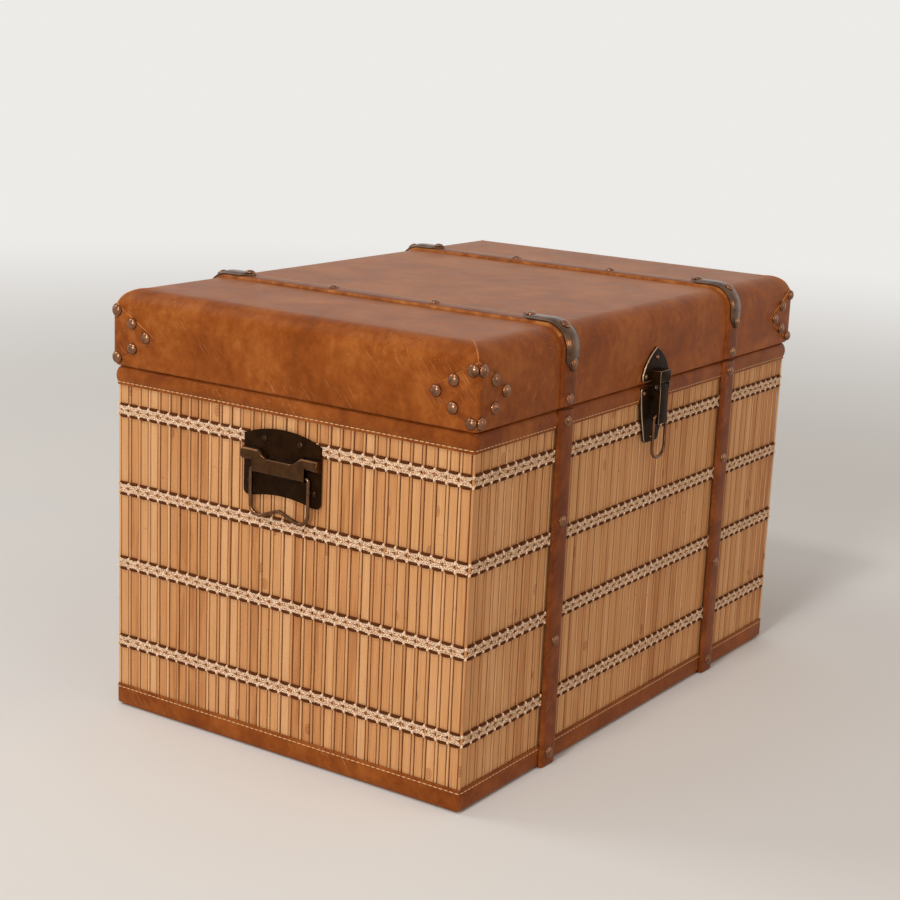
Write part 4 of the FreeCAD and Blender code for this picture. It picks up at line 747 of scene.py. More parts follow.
parts = []
for side in (-1, 1):
    half = over_lid(0.0, STRAP_MIDDLE * side, SEAM + 0.002, 0.0)
    parts.append(swept("strap", half + turned_back(half)[1:], STRAP, strap_leather))
piece = merged("lid_straps_leather", parts)
# The lid straps' side faces near the top take a paler leather. This is partly the pared edge's own colour and
# partly a painted highlight, since it is kept to the top where light catches them.
pared_edge_and_highlight = leather("pared strap edge with painted highlight", "#84471f", "#9c5c2b", "#b4753f", (0.3, 0.42), 12)
piece.data.materials.append(pared_edge_and_highlight)
for face in piece.data.polygons:
    if abs(face.normal.x) > 0.4 and face.center.z > LID_TOP - 0.007:
        face.material_index = 1
fit(piece, "lid", "leather", "lid_straps")


# Nails: domed brass heads with a darkened, rubbed finish, driven through straps, patches and clips.
# The hollows keep a brown film and the crowns are polished by handling.
def aged_metal(name, dark, light, rough, size_mm, worn, metal=1.0, lacquer=0.0):
    """Plated metal with a dark film that is rubbed off in soft spots, under a thin clear lacquer."""
    made, tree, shader, coordinates = material(name, Metallic=metal, Coat_Weight=lacquer,
                                               Coat_Roughness=0.12)
    film = grain(tree, coordinates, size_mm, 5, (1, 1, 1), 0.65, 0.3)
    fine = grain(tree, coordinates, 0.5, 3, (1, 1, 1), 0.6)
    tinted(tree, shader, film, (worn - 0.14, dark), (worn + 0.14, light))
    tree.links.new(ranged(tree, film, rough[1], rough[0]), shader.inputs["Roughness"])
    raised(tree, shader, fine, 0.03, 0.6)
    return made


nail_brass = aged_metal("rubbed antique brass nail", "#5a3b27", "#92664a", (0.2, 0.3), 6.0, 0.45,
                        lacquer=0.12)
nailing, given = geometry_tree("domed nails", Geometry="Geometry", Diameter="Float", Rise="Float")
radius = scaled(nailing, given["Diameter"], 0.5)
ball = add(nailing, "GeometryNodeMeshUVSphere", {"Segments": 20, "Rings": 14, "Radius": radius})
spot = add(nailing, "ShaderNodeSeparateXYZ", {0: add(nailing, "GeometryNodeInputPosition")})
flat_back = add(nailing, "ShaderNodeMath", {0: spot.outputs["Z"], 1: 0.0}, operation="MAXIMUM")
ratio = add(nailing, "ShaderNodeMath", {0: given["Rise"], 1: radius}, operation="DIVIDE")
lowered = add(nailing, "ShaderNodeMath", {0: flat_back, 1: ratio}, operation="MULTIPLY")
dome = add(nailing, "ShaderNodeCombineXYZ", {"X": spot.outputs["X"], "Y": spot.outputs["Y"], "Z": lowered})
domed = add(nailing, "GeometryNodeSetPosition", {"Geometry": ball, "Position": dome})
softened = add(nailing, "GeometryNodeSetShadeSmooth", {"Geometry": domed})
outwards = add(nailing, "GeometryNodeInputNamedAttribute", {"Name": "outward"}, data_type="FLOAT_VECTOR")
turned_out = add(nailing, "FunctionNodeAlignRotationToVector", {"Vector": outwards}, axis="Z")
size = add(nailing, "FunctionNodeRandomValue", {0: (0.96, 0.96, 0.94), 1: (1.02, 1.02, 1.03), "Seed": 4},
           data_type="FLOAT_VECTOR")
driven = add(nailing, "GeometryNodeInstanceOnPoints", {"Points": given["Geometry"], "Instance": softened,
                                                       "Rotation": turned_out, "Scale": size})
ends_in(nailing, (driven.outputs[0], nail_brass))


def nail(name, body, places, diameter, rise, finish, slot, *stands_for):
    """Domed heads at (point, outward direction) places."""
    mesh = bpy.data.meshes.new(name + "_places")
    mesh.from_pydata([tuple(point) for point, outward in places], [], [])
    outward_field = mesh.attributes.new("outward", "FLOAT_VECTOR", "POINT")
    for index, (point, outward) in enumerate(places):
        outward_field.data[index].vector = outward
    piece = grown(name, nailing, {"Diameter": diameter, "Rise": rise}, mesh)
    dress(piece, finish)
    fit(piece, body, slot, *stands_for)


BODY_NAILS = [((STRAP_MIDDLE * side, turn * (HALF_WIDTH + 0.0036), z), (0, turn, 0))
              for side, turn in CORNERS for z in (0.0129, 0.1195, 0.2304, 0.3204)]
nail("body_strap_nail_heads", "chest", BODY_NAILS, 0.0106, 0.0033, nail_brass, "antique_brass",
     "body_strap_nails")
LID_NAILS = [((STRAP_MIDDLE * side, turn * (LID_HALF_WIDTH + 0.003), SEAM + 0.008), (0, turn, 0))
             for side, turn in CORNERS]
LID_NAILS += [((STRAP_MIDDLE * side, turn * 0.057, LID_TOP + 0.003), (0, 0, 1)) for side, turn in CORNERS]
nail("lid_strap_nail_heads", "lid", LID_NAILS, 0.0105, 0.0030, nail_brass, "antique_brass",
     "lid_strap_nails")

# Lid cover: one hide glued over the wooden lid, pulled round its edges and cut and butted in a mitre at
# each top corner. The glue leaves it tight, with a faint roll in the top and soft, rubbed edges.
lid_leather = leather("waxed cognac lid leather", "#7e3e0f", "#904b18", "#a35d26", (0.34, 0.46), 60)
LID_CORNER = 0.003


def lid_inset(z):
    """How far the lid's side stands back from its widest at a height, round its top edge."""
    over = min(max(z - ROUND_START, 0.0), LID_ROUND)
    return LID_ROUND - math.sqrt(max(LID_ROUND * LID_ROUND - over * over, 0.0))


def corner_at(inset):
    """The radius of the lid's upright corner where its side stands back so far: it tightens upwards."""
    return max(0.0010, LID_CORNER - inset * 0.35)


LID = [(-0.0105, 0.3335), (-0.0105, 0.3322), (-0.0095, 0.3320), (-0.0024, 0.3320), (-0.0011, 0.3323),
       (-0.0003, 0.3331), (0.0, 0.3343)]
LID += [(0.0, 0.3343 + (ROUND_START - 0.3343) * step / 6) for step in range(1, 7)]
for step in range(1, 13):
    turn = math.pi / 2 * step / 12
    LID.append((LID_ROUND * (math.cos(turn) - 1), ROUND_START + LID_ROUND * math.sin(turn)))
LID += [(-0.03, 0.4031), (-0.06, 0.4030), (-0.11, 0.4029)]
rings = []
for out, z in LID:
    corner = corner_at(max(0.0, -out)) if z > 0.35 else LID_CORNER
    rings.append(around_box(LID_HALF_LENGTH + out, LID_HALF_WIDTH + out, corner, z, 5, (36, 24)))
vertices, faces = between(rings, caps=False)
faces.append(tuple(range((len(rings) - 1) * len(rings[0]), len(rings) * len(rings[0]))))
piece = shape("lid_cover_leather", vertices, faces, lid_leather, 50)
fit(piece, "lid", "leather", "lid_cover")

# At each top corner the cut edges of the hide meet in a short raised seam, paler where they are pared.
pared_leather = leather("pared cognac leather edge", "#a8602a", "#bd7840", "#cf9058", (0.4, 0.5), 20)
SEAM_RIDGE = [(-0.0009, -0.0006), (-0.0006, 0.0002), (0.0, 0.0005), (0.0006, 0.0002), (0.0009, -0.0006)]
SEAM_START, SEAM_STEPS, SEAM_ROUND_STEPS, SEAM_STEP = 18, 14, 11, 0.0025
parts = []
for x, y in CORNERS:
    path = []
    for step in range(SEAM_STEPS + 1):
        turn = math.radians(SEAM_START + (90 - SEAM_START) * min(step, SEAM_ROUND_STEPS) / SEAM_ROUND_STEPS)
        inset = LID_ROUND * (1 - math.cos(turn)) + SEAM_STEP * max(0, step - SEAM_ROUND_STEPS)
        back = inset + corner_at(inset) * (1 - math.sqrt(0.5))
        place = Vector((x * (LID_HALF_LENGTH - back), y * (LID_HALF_WIDTH - back),
                        ROUND_START + LID_ROUND * math.sin(turn)))
        outward = Vector((x * math.cos(turn), y * math.cos(turn), math.sin(turn) * math.sqrt(2)))
        path.append((place, outward.normalized(), Vector((x, -y, 0)).normalized()))
    taper = [max(0.25, min(1.0, spot / 2, (SEAM_STEPS - spot) / 3)) for spot in range(SEAM_STEPS + 1)]
    parts.append(swept("seam", path, SEAM_RIDGE, pared_leather, taper))
fit(merged("lid_corner_seams", parts), "lid", "leather")

# Linings: thin cotton cloth glued to card inside the body and the lid, matt and warm beige. The plain
# weave is drawn with threads 1.4 mm apart, coarser than real ones, so that its crossed relief shows.
cloth, tree, shader, coordinates = material("plain-woven cotton lining", Roughness=0.9, Sheen_Weight=0.25)
warp, weft = [add(tree, "ShaderNodeTexWave", {
    "Vector": add(tree, "ShaderNodeMapping", {"Vector": coordinates, "Scale": (1 / 0.0045,) * 3}),
    "Scale": 1.0, "Distortion": 1.2, "Detail": 2.0}, bands_direction=axis).outputs["Fac"] for axis in "XZ"]
crossed = add(tree, "ShaderNodeMath", {0: warp, 1: weft}, operation="MAXIMUM")
tinted(tree, shader, crossed, (0.0, "#8c7656"), (1.0, "#c9b592"))
raised(tree, shader, crossed, 0.15)
LINING_THICKNESS = 0.001


def lined(name, node, mouth, body):
    """A box of lined card, from its open edge, rolled over, to a closed end with soft corners."""
    corners = [cad[node].matrix_world @ vertex.co for vertex in cad[node].data.vertices]
    low, high = [Vector([pick(corner[axis] for corner in corners) for axis in range(3)])
                 for pick in (min, max)]
    half_x, half_y = (high.x - low.x) / 2, (high.y - low.y) / 2
    mouth_z, closed_z = (high.z, low.z) if mouth == "up" else (low.z, high.z)
    inwards = 1 if closed_z > mouth_z else -1
    lip = [(0.0, 0.0005), (0.00015, 0.00015), (0.0005, 0.0), (0.00085, 0.00015), (LINING_THICKNESS, 0.0005)]
    fold = [(LINING_THICKNESS, 0.0045), (0.0013, 0.0026), (0.0024, 0.0014), (0.0045, LINING_THICKNESS)]
    profile = [(0.0, closed_z)] + [(inset, mouth_z + inwards * depth) for inset, depth in lip]
    profile += [(inset, closed_z - inwards * depth) for inset, depth in fold]
    rings = [around_box(half_x - inset, half_y - inset, 0.0008 + inset, z) for inset, z in profile]
    fit(shape(name, *between(rings), cloth, 50), body, "lining", node)


lined("body_lining_cloth", "body_lining", "up", "chest")
lined("lid_lining_cloth", "lid_lining", "down", "lid")


# Corner patches: a kite of the same leather folded round each upright corner of the lid, its edges
# skived thin, held by five nails on each leaf.
patch_leather = leather("skived cognac patch leather", "#773911", "#8a4717", "#9d5723", (0.34, 0.46), 25)
PATCH_REACH, PATCH_LOW, PATCH_MIDDLE, PATCH_HIGH = 0.0505, 0.3345, 0.3620, 0.3905
PATCH_COLUMNS, PATCH_ROWS = 40, 8
PATCH_STANDS = (0.0, 0.0008, 0.0013, 0.0014)


def on_lid(side_x, side_y, run, z, out):
    """A point on the lid's skin near a corner: run along the long side if positive, else along the end."""
    inset = lid_inset(z)
    radius = LID_CORNER + out
    half_arc = radius * math.pi / 4
    x = LID_HALF_LENGTH - inset - LID_CORNER
    y = LID_HALF_WIDTH - inset - LID_CORNER
    if abs(run) <= half_arc:
        turn = math.pi / 4 + run / radius
        x, y = x + radius * math.cos(turn), y + radius * math.sin(turn)
    elif run > 0:
        x, y = x - (run - half_arc), y + radius
    else:
        x, y = x + radius, y - (-run - half_arc)
    return Vector((side_x * x, side_y * y, z))


parts = []
for x, y in CORNERS:
    rings = []
    for column in range(PATCH_COLUMNS + 1):
        run = PATCH_REACH * (2 * column / PATCH_COLUMNS - 1)
        open_share = 1 - abs(run) / PATCH_REACH
        low = PATCH_MIDDLE - (PATCH_MIDDLE - PATCH_LOW) * open_share
        high = PATCH_MIDDLE + (PATCH_HIGH - PATCH_MIDDLE) * open_share
        half, centre = (high - low) / 2, (high + low) / 2
        flat = half - min(0.0009, half * 0.9)
        foot, low_edge, high_edge, crown = PATCH_STANDS
        ring = [(centre - half, foot), (centre - half, low_edge), (centre - flat, high_edge)]
        ring += [(centre + flat * (2 * row / PATCH_ROWS - 1), crown) for row in range(1, PATCH_ROWS)]
        ring += [(centre + flat, high_edge), (centre + half, low_edge), (centre + half, foot)]
        thin = min(1.0, open_share * 18)
        rings.append([on_lid(x, y, run, z, out * thin + 0.00005) for z, out in ring])
    patch = shape("patch", *between(rings, closed_round=False, caps=False), patch_leather, 55)
    patch.data.materials.append(pared_leather)
    for face in patch.data.polygons:
        if abs(face.normal.z) > 0.5:
            face.material_index = 1
    parts.append(patch)
fit(merged("corner_patches_leather", parts), "lid", "leather", "corner_patches")

PATCH_NAILS = []
for x, y in CORNERS:
    for run, rise in ((0.0060, 0.0078), (0.0060, 0.0512), (0.0412, 0.0300), (0.0243, 0.0182),
                      (0.0243, 0.0412)):
        at_x, at_y = LID_HALF_LENGTH + 0.0014 - run, LID_HALF_WIDTH + 0.0014 - run
        PATCH_NAILS.append(((x * at_x, y * (LID_HALF_WIDTH + 0.0013), SEAM + rise), (0, y, 0)))
        PATCH_NAILS.append(((x * (LID_HALF_LENGTH + 0.0013), y * at_y, SEAM + rise), (x, 0, 0)))
nail("patch_nail_heads", "lid", PATCH_NAILS, 0.0112, 0.0036, nail_brass, "antique_brass", "patch_nails")

# Clips: pressed brass strips bent over each strap at the lid's top edge, 22 mm wide, crowned, with a
# flat flange down both sides and a pointed end top and bottom. Three nails hold each.
clip_brass = aged_metal("pressed antique brass clip", "#523a2a", "#73543f", (0.22, 0.32), 12.0, 0.5,
                        lacquer=0.2)
CLIP = [(-0.011, 0.0), (-0.011, 0.0008), (-0.0104, 0.0011), (-0.0088, 0.0011), (-0.0078, 0.0018),
        (-0.0050, 0.0027), (0.0, 0.0031), (0.0050, 0.0027), (0.0078, 0.0018), (0.0088, 0.0011),
        (0.0104, 0.0011), (0.011, 0.0008), (0.011, 0.0)]
CLIP_STAND, CLIP_FOOT, CLIP_TOP_END, CLIP_POINT = 0.0032, 0.3642, -0.1516, 0.0105
parts = []
for side in (-1, 1):
    half = over_lid(CLIP_STAND, STRAP_MIDDLE * side, CLIP_FOOT, CLIP_TOP_END, 12, 16, 12)
    lengths = [0.0]
    for before, here in zip(half, half[1:]):
        lengths.append(lengths[-1] + (here[0] - before[0]).length)
    ends = [min(spot, lengths[-1] - spot) for spot in lengths]
    widths = [max(0.04, min(1.0, away / CLIP_POINT) ** 0.85) for away in ends]
    parts.append(swept("clip", half, CLIP, clip_brass, widths))
    parts.append(swept("clip", turned_back(half), CLIP, clip_brass, widths[::-1]))
fit(merged("strap_clips_brass", parts), "lid", "antique_brass", "strap_clips")

SLANT = math.radians(56)
CLIP_NAILS = [((STRAP_MIDDLE * side, turn * y, z), (0, turn * out_y, out_z))
              for side, turn in CORNERS
              for y, z, out_y, out_z in ((0.2052, 0.3712, 1.0, 0.0), (0.1587, 0.4088, 0.0, 1.0),
                                         (0.19406, 0.4045, math.cos(SLANT), math.sin(SLANT)))]
nail("clip_nail_heads", "lid", CLIP_NAILS, 0.0100, 0.0026, nail_brass, "antique_brass", "clip_nails")


# Back hinges: pressed brass-plated leaves rolled round a steel pin, three screws in each leaf.
def eased(name, node, finish, width_mm, rubbed=None, angle=35):
    """A copy of a CAD node with its edges broken by a narrow bevel, which may have a rubbed finish."""
    work = bmesh.new()
    work.from_mesh(cad[node].data)
    bmesh.ops.remove_doubles(work, verts=work.verts, dist=1e-6)
    bmesh.ops.dissolve_limit(work, angle_limit=math.radians(1.5), verts=work.verts, edges=work.edges)
    folds = [edge for edge in work.edges if len(edge.link_faces) == 2]
    sharp = [edge for edge in folds if edge.calc_face_angle(0) > math.radians(angle)]
    bmesh.ops.bevel(work, geom=sharp, offset=width_mm * 0.001, segments=2, profile=0.5, affect="EDGES",
                    clamp_overlap=True, material=1 if rubbed else -1)
    bmesh.ops.recalc_face_normals(work, faces=work.faces)
    mesh = bpy.data.meshes.new(name)
    for metal in (finish, rubbed) if rubbed else (finish,):
        mesh.materials.append(metal)
    work.to_mesh(mesh)
    work.free()
    mesh.shade_smooth()
    mesh.set_sharp_from_angle(angle=math.radians(angle))
    return put(name, mesh)


hinge_brass = aged_metal("brass-plated pressed hinge", "#5e442c", "#8e6a45", (0.28, 0.38), 9.0, 0.48)
pin_steel = aged_metal("drawn steel pin", "#55524d", "#9a958c", (0.25, 0.4), 1.5, 0.45)
HINGE_MIDDLE, SCREW_STEP = 0.22, 0.013
for leaf, body in (("hinge_body", "chest"), ("hinge_lid", "lid")):
    metal = eased(leaf + "_leaf_metal", leaf + "_leaves", hinge_brass, 0.15)
    fit(metal, body, "antique_brass", leaf + "_leaves")
dress(cad["hinge_pins"], pin_steel)
for leaf, body, y, z in (("hinge_body", "chest", HALF_WIDTH + 0.0018, 0.3178),
                         ("hinge_lid", "lid", LID_HALF_WIDTH + 0.0012, SEAM + 0.0142)):
    screws = [((HINGE_MIDDLE * side + SCREW_STEP * step, y, z), (0, 1, 0))
              for side in (-1, 1) for step in (-1, 0, 1)]
    nail(leaf + "_screw_heads", body, screws, 0.005, 0.0011, hinge_brass, "antique_brass")

# Latch plates, hasp, block and keeper: pressed and folded sheet steel, japanned nearly black and baked.
# Handling has rubbed the raised edges back to the warm metal.
japanned = aged_metal("japanned pressed steel", "#1a0e05", "#281709", (0.36, 0.5), 9.0, 0.5, 0.0)
shader = japanned.node_tree.nodes["Principled BSDF"]
shader.inputs["Specular IOR Level"].default_value = 0.06
shader.inputs["Specular Tint"].default_value = linear("#e0a070")
rubbed_edge = aged_metal("steel rubbed bright at its edges", "#8a7260", "#b89c82", (0.28, 0.38), 14.0, 0.45)


def arc_of(start, control, end, steps):
    """Points from start to end along one bow."""
    stops = [step / steps for step in range(steps + 1)]
    return [tuple((1 - t) ** 2 * a + 2 * t * (1 - t) * b + t * t * c for a, b, c in zip(start, control, end))
            for t in stops]


def relief(name, half_outline, back_y, finish, rubbed):
    """A pressed plate on the front, mirrored about x = 0, with a rounded border rubbed bright."""
    outline = [Vector((x, 0, z)) for x, z in half_outline]
    outline += [Vector((-x, 0, z)) for x, z in reversed(half_outline) if x > 1e-6]
    inwards = []
    for index in range(len(outline)):
        along = (outline[(index + 1) % len(outline)] - outline[index - 1]).normalized()
        inwards.append(Vector((-along.z, 0, along.x)))
    rings = []
    for inset, out in ((0.0, 0.0), (0.0, 0.0014), (0.0002, 0.0019), (0.0006, 0.0023), (0.0011, 0.0024)):
        rings.append([point + inward * inset + Vector((0, back_y - out, 0))
                      for point, inward in zip(outline, inwards)])
    piece = shape(name, *between(rings), finish, 50)
    piece.data.materials.append(rubbed)
    for face in piece.data.polygons:
        if 0.0015 < back_y - face.center.y < 0.00225:
            face.material_index = 1
    return piece


LID_PLATE = [(0.0, 0.3345), (0.0215, 0.3345)]
LID_PLATE += arc_of((0.0232, 0.3346), (0.0249, 0.3350), (0.0250, 0.3372), 4)
LID_PLATE += arc_of((0.0250, 0.3402), (0.0212, 0.3545), (0.0006, 0.3652), 14) + [(0.0, 0.3654)]
BODY_PLATE = [(0.0, 0.2745), (0.0085, 0.2745)]
BODY_PLATE += arc_of((0.0100, 0.2746), (0.0128, 0.2752), (0.0142, 0.2790), 5)
BODY_PLATE += arc_of((0.0158, 0.2842), (0.0232, 0.3060), (0.0244, 0.3240), 10)
BODY_PLATE += arc_of((0.0244, 0.3258), (0.0243, 0.3284), (0.0220, 0.3285), 4) + [(0.0, 0.3285)]
fit(relief("latch_lid_plate_metal", LID_PLATE, -LID_HALF_WIDTH, japanned, rubbed_edge), "lid", "dark_plate",
    "latch_lid_plate")
fit(relief("latch_body_plate_metal", BODY_PLATE, -(HALF_WIDTH + 0.0006), japanned, rubbed_edge), "chest",
    "dark_plate", "latch_body_plate")
fit(eased("hasp_metal", "hasp", japanned, 0.45, rubbed_edge), "hasp", "dark_plate", "hasp")
fit(eased("hasp_block_metal", "hasp_block", japanned, 0.45, rubbed_edge), "lid", "dark_plate", "hasp_block")
dress(cad["hasp_keeper"], japanned)
dress(cad["hasp_pin"], pin_steel)
STUD_X = 0.02005
for plate, body, y, sides_z, middle_z in (("latch_lid", "lid", -0.2018, 0.33945, 0.3556),
                                          ("latch_body", "chest", -0.2009, 0.32355, 0.27945)):
    studs = [((x, y, z), (0, -1, 0)) for x, z in ((-STUD_X, sides_z), (STUD_X, sides_z), (0, middle_z))]
    nail(plate + "_stud_heads", body, studs, 0.0045, 0.0016, nail_brass, "antique_brass", plate + "_studs")


# Ring and bails: bronzed steel wire bent to shape and butted, smooth and slightly waxy.
def wire(name, corners, radius, finish, sides=14, bend_steps=8):
    """A closed loop of round wire through (point, bend radius) corners that lie in one plane."""
    stops = []
    count = len(corners)
    for index, (point, bend) in enumerate(corners):
        before = (corners[index - 1][0] - point).normalized()
        after = (corners[(index + 1) % count][0] - point).normalized()
        half_angle = before.angle(after) / 2
        reach = bend / math.tan(half_angle)
        centre = point + (before + after).normalized() * (bend / math.sin(half_angle))
        start, end = point + before * reach - centre, point + after * reach - centre
        for step in range(bend_steps + 1):
            stops.append(centre + start.slerp(end, step / bend_steps).normalized() * bend)
    plane = (stops[1] - stops[0]).cross(stops[len(stops) // 2] - stops[0]).normalized()
    turns = [2 * math.pi * side / sides for side in range(sides)]
    rings = []
    for index, stop in enumerate(stops):
        along = (stops[(index + 1) % len(stops)] - stops[index - 1]).normalized()
        across = along.cross(plane)
        rings.append([stop + (plane * math.cos(turn) + across * math.sin(turn)) * radius for turn in turns])
    return shape(name, *between(rings, closed_along=True), finish, 60)


bronzed = aged_metal("bronzed bent steel", "#573a27", "#7d593f", (0.16, 0.24), 12.0, 0.48)
RING_Y, RING_WIRE = -0.2088, 0.0015
RING = [(Vector((x, RING_Y, z)), bend) for x, z, bend in
        ((-0.012, 0.3021, 0.0036), (0.012, 0.3021, 0.0036), (0.012, 0.2611, 0.0102),
         (-0.012, 0.2611, 0.0102))]
fit(wire("latch_ring_wire", RING, RING_WIRE, bronzed), "lock_ring", "bronze", "latch_ring")
BAIL_X, BAIL_WIRE = 0.3046, 0.0017
BAIL = [(-0.03225, 0.2647, 0.00272), (0.03225, 0.2647, 0.00272), (0.03225, 0.2185, 0.00986),
        (0.0, 0.2305, 0.00493), (-0.03225, 0.2185, 0.00986)]
for name, side in (("left", -1), ("right", 1)):
    loop = [(Vector((side * BAIL_X, y, z)), bend) for y, z, bend in BAIL]
    fit(wire("bail_%s_wire" % name, loop, BAIL_WIRE, bronzed), name + "_bail", "bronze", "bail_" + name)

# End plates and hoods: a japanned plate with an arched head, and a bronzed hood folded over the bail's
# bar. The hood's ends are full rolls with rounded caps, and its middle dips to an apron down the front.
fit(eased("handle_plate_metal", "handle_plates", japanned, 0.3), "chest", "dark_plate", "handle_plates")
hood_bronze = aged_metal("bronzed pressed hood", "#452e1d", "#593d26", (0.13, 0.19), 14.0, 0.5)
PLATE_FACE, BAR_HEIGHT, ROLL, SHEET, HOOD_POINTS = 0.3015, 0.2767, 0.0063, 0.0012, 34
DIP_HALF_WIDTH, DIP_RUN, DIP_CREST, SHOULDER_CREST, CREST_FALL = 0.0122, 0.014, 0.2777, 0.2840, 0.45
APRON_HALF_WIDTH, APRON_FOOT, APRON_CURL, END_RUN, END_SHEET = 0.02925, 0.2615, 0.002, 0.0123, 0.0060


def even_path(points, count):
    """As many points along a line of points, evenly spread."""
    lengths = [0.0]
    for before, here in zip(points, points[1:]):
        lengths.append(lengths[-1] + (here - before).length)
    spread, at = [], 0
    for step in range(count):
        want = lengths[-1] * step / (count - 1)
        while at < len(points) - 2 and lengths[at + 1] < want:
            at += 1
        share = (want - lengths[at]) / max(lengths[at + 1] - lengths[at], 1e-9)
        spread.append(points[at].lerp(points[at + 1], min(share, 1.0)))
    return spread


def hood_ring(across, apron, inner=SHEET):
    """A hood's section at a distance across the plate: its skin over the roll, and back inside."""
    share = min(max((abs(across) - DIP_HALF_WIDTH) / DIP_RUN, 0.0), 1.0)
    crest = DIP_CREST + (SHOULDER_CREST - DIP_CREST) * share * share * (3 - 2 * share)
    skin = []
    for step in range(41):
        turn = math.pi / 2 * (1 - step / 40)
        out, z = ROLL * math.cos(turn), BAR_HEIGHT + ROLL * math.sin(turn)
        skin.append(Vector((out, min(z, crest - CREST_FALL * out))))
    if apron:
        curl_out, curl_z = ROLL - APRON_CURL, APRON_FOOT + APRON_CURL
        skin += [Vector((curl_out + APRON_CURL * math.cos(turn), curl_z - APRON_CURL * math.sin(turn)))
                 for turn in [math.pi / 2 * step / 5 for step in range(6)]]
        skin += [Vector((0.0, APRON_FOOT))]
    else:
        skin += [Vector((ROLL * math.cos(turn), BAR_HEIGHT - ROLL * math.sin(turn)))
                 for turn in [math.pi / 2 * step / 20 for step in range(1, 21)]]
    fine = even_path(skin, 80)
    for rounds in range(10):
        middles = [(before + here + after) / 3 for before, here, after in zip(fine, fine[1:], fine[2:])]
        fine = fine[:1] + middles + fine[-1:]
    skin = even_path(fine, HOOD_POINTS)
    back = []
    for index, point in enumerate(skin):
        along = (skin[min(index + 1, HOOD_POINTS - 1)] - skin[max(index - 1, 0)]).normalized()
        back.append(Vector((max(0.0, point.x + along.y * inner), point.y - along.x * inner)))
    return [(point.x, point.y) for point in skin + back[::-1]]


parts = []
for side in (-1, 1):
    zones = [([APRON_HALF_WIDTH * (step / 30 - 1) for step in range(61)], True)]
    zones += [([turn * (APRON_HALF_WIDTH + END_RUN * step / 3) for step in range(4)], False)
              for turn in (-1, 1)]
    for spots, apron in zones:
        sections = [(across, hood_ring(across, apron)) for across in spots]
        if not apron:
            cap = hood_ring(spots[-1], False, END_SHEET)
            for shrunk, further in ((1.0, 0.0005), (0.93, 0.0011), (0.8, 0.00145)):
                ring = [(out * shrunk, BAR_HEIGHT + (z - BAR_HEIGHT) * shrunk) for out, z in cap]
                sections.append((spots[-1] + math.copysign(further, spots[-1]), ring))
        rings = [[Vector((side * (PLATE_FACE + out), across, z)) for out, z in ring]
                 for across, ring in sections]
        parts.append(shape("hood", *between(rings), hood_bronze, 50))
fit(merged("handle_hood_metal", parts), "chest", "bronze", "handle_hoods")

black_steel = aged_metal("blackened steel screw", "#2c1d11", "#3f2b1b", (0.24, 0.34), 3.0, 0.5)
HANDLE_SCREWS = [((side * 0.3014, across, z), (side, 0, 0)) for side in (-1, 1)
                 for across, z in ((-0.0198, 0.292), (0.0198, 0.292), (-0.03535, 0.2515), (0.03535, 0.2515))]
nail("handle_screw_heads", "chest", HANDLE_SCREWS, 0.0065, 0.0016, black_steel, "dark_plate",
     "handle_screws")

# Studio: a plain pale floor that fades into a pale surround, a window lamp from the left, a small ceiling
# lamp, a bounce from the wall behind and a warm fill from the front, so a colour renders about as written.
mesh = bpy.data.meshes.new("floor")
mesh.from_pydata([(-30, -30, 0), (30, -30, 0), (30, 30, 0), (-30, 30, 0)], [], [(0, 1, 2, 3)])
floor = put("floor", mesh)


def seen(tree):
    """1 for what the camera sees, straight, mirrored or through a piece, and 0 for what gives light."""
    rays = add(tree, "ShaderNodeLightPath").outputs
    either = add(tree, "ShaderNodeMath", {0: rays["Is Camera Ray"], 1: rays["Is Glossy Ray"]},
                 operation="MAXIMUM")
    return add(tree, "ShaderNodeMath", {0: either, 1: rays["Is Transmission Ray"]}, operation="MAXIMUM")


pale_floor, tree, shader, coordinates = material("pale studio floor", Roughness=0.8, IOR=1.3)
tinted(tree, shader, grain(tree, coordinates, 900, 2), (0.3, "#eceff2"), (0.7, "#f1f4f7"))
apart = add(tree, "ShaderNodeVectorMath", {0: coordinates}, operation="LENGTH").outputs["Value"]
fade = add(tree, "ShaderNodeMapRange", {"Value": apart, "From Min": 0.9, "From Max": 3.6},
           interpolation_type="SMOOTHSTEP")
faded = add(tree, "ShaderNodeMath", {0: fade, 1: seen(tree)}, operation="MULTIPLY")
BACKDROP = {"Color": linear("#edebe8"), "Strength": 1.0}
glow = add(tree, "ShaderNodeEmission", BACKDROP)
both = add(tree, "ShaderNodeMixShader", {0: faded, 1: shader, 2: glow})
tree.links.new(both.outputs[0], tree.nodes["Material Output"].inputs["Surface"])
dress(floor, pale_floor)


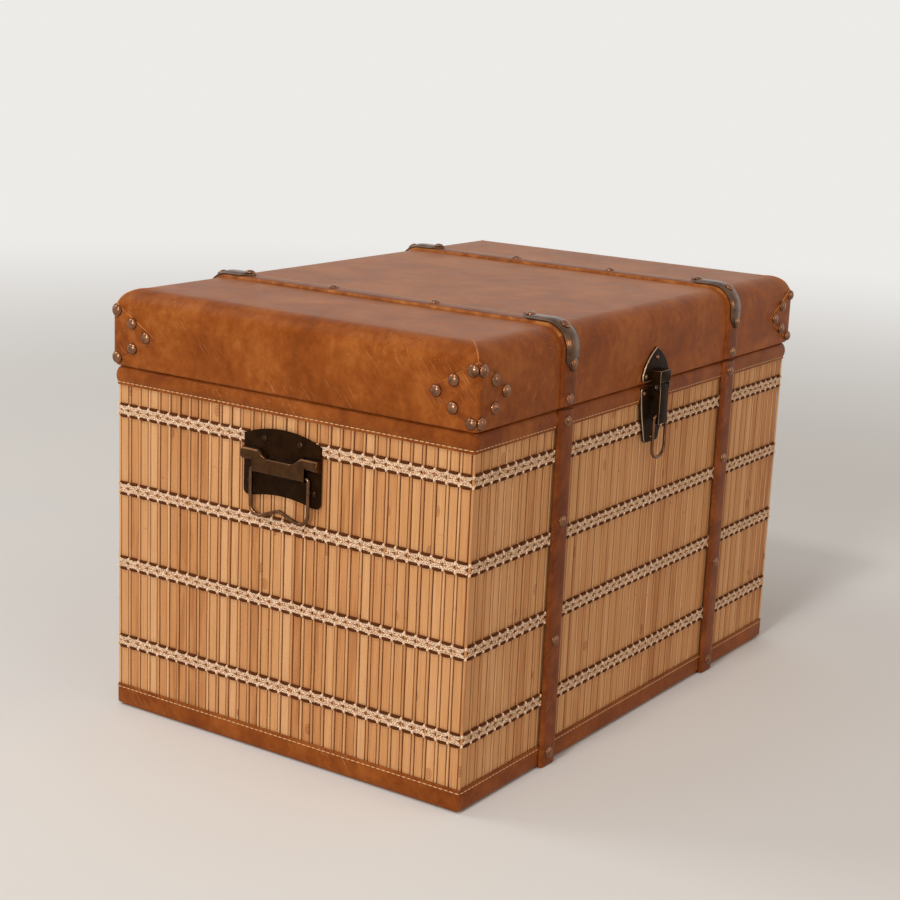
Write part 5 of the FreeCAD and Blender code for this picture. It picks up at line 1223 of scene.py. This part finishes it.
def soft_light(name, place, aim, side, power, colour):
    """A square lamp of that side, aimed at a point."""
    lamp = bpy.data.lights.new(name, "AREA")
    lamp.shape = "SQUARE"
    lamp.size = side
    lamp.energy = power
    lamp.color = linear(colour)[:3]
    holder = put(name, lamp)
    holder.location = place
    holder.rotation_euler = (Vector(aim) - Vector(place)).to_track_quat("-Z", "Y").to_euler()


soft_light("window", (-4.4, -0.6, 1.7), (0, 0, 0.2), 0.8, 71, "#fffaf4")
soft_light("ceiling", (-1.95, -0.2, 2.7), (0, 0, 0.3), 0.3, 18, "#fff6ea")
soft_light("wall bounce", (-0.9, 2.2, 2.3), (0, 0, 0.3), 1.2, 15, "#fff6ea")
soft_light("fill", (1.0, -4.0, 1.4), (0, 0, 0.2), 0.8, 16, "#ffd49e")

world = bpy.data.worlds.new("studio")
bpy.context.scene.world = world
world.use_nodes = True
tree = world.node_tree
sky = tree.nodes["Background"]
sky.inputs["Color"].default_value = linear("#f4eadf")
sky.inputs["Strength"].default_value = 0.45
backdrop = add(tree, "ShaderNodeBackground", BACKDROP)
both = add(tree, "ShaderNodeMixShader", {0: seen(tree), 1: sky, 2: backdrop})
tree.links.new(both.outputs[0], tree.nodes["World Output"].inputs["Surface"])

# Camera, as solved from the trunk's straight edges.
EYE_PLACE = (-1.5093, -0.9791, 0.6628)
YAW, PITCH, ROLL_ANGLE = math.radians(56.3414), math.radians(13.4916), math.radians(2.4605)
lens = bpy.data.cameras.new("camera")
lens.sensor_width = 36
lens.lens = 73.44
eye = put("camera", lens)
look = Vector((math.sin(YAW) * math.cos(PITCH), math.cos(YAW) * math.cos(PITCH), -math.sin(PITCH)))
level = Vector((math.cos(YAW), -math.sin(YAW), 0))
up = level.cross(look)
right_rolled = level * math.cos(ROLL_ANGLE) + up * math.sin(ROLL_ANGLE)
up_rolled = up * math.cos(ROLL_ANGLE) - level * math.sin(ROLL_ANGLE)
turn = Matrix((right_rolled, up_rolled, -look)).transposed()
eye.matrix_world = Matrix.Translation(EYE_PLACE) @ turn.to_4x4()
bpy.context.scene.camera = eye
bpy.context.scene.view_settings.view_transform = "Standard"
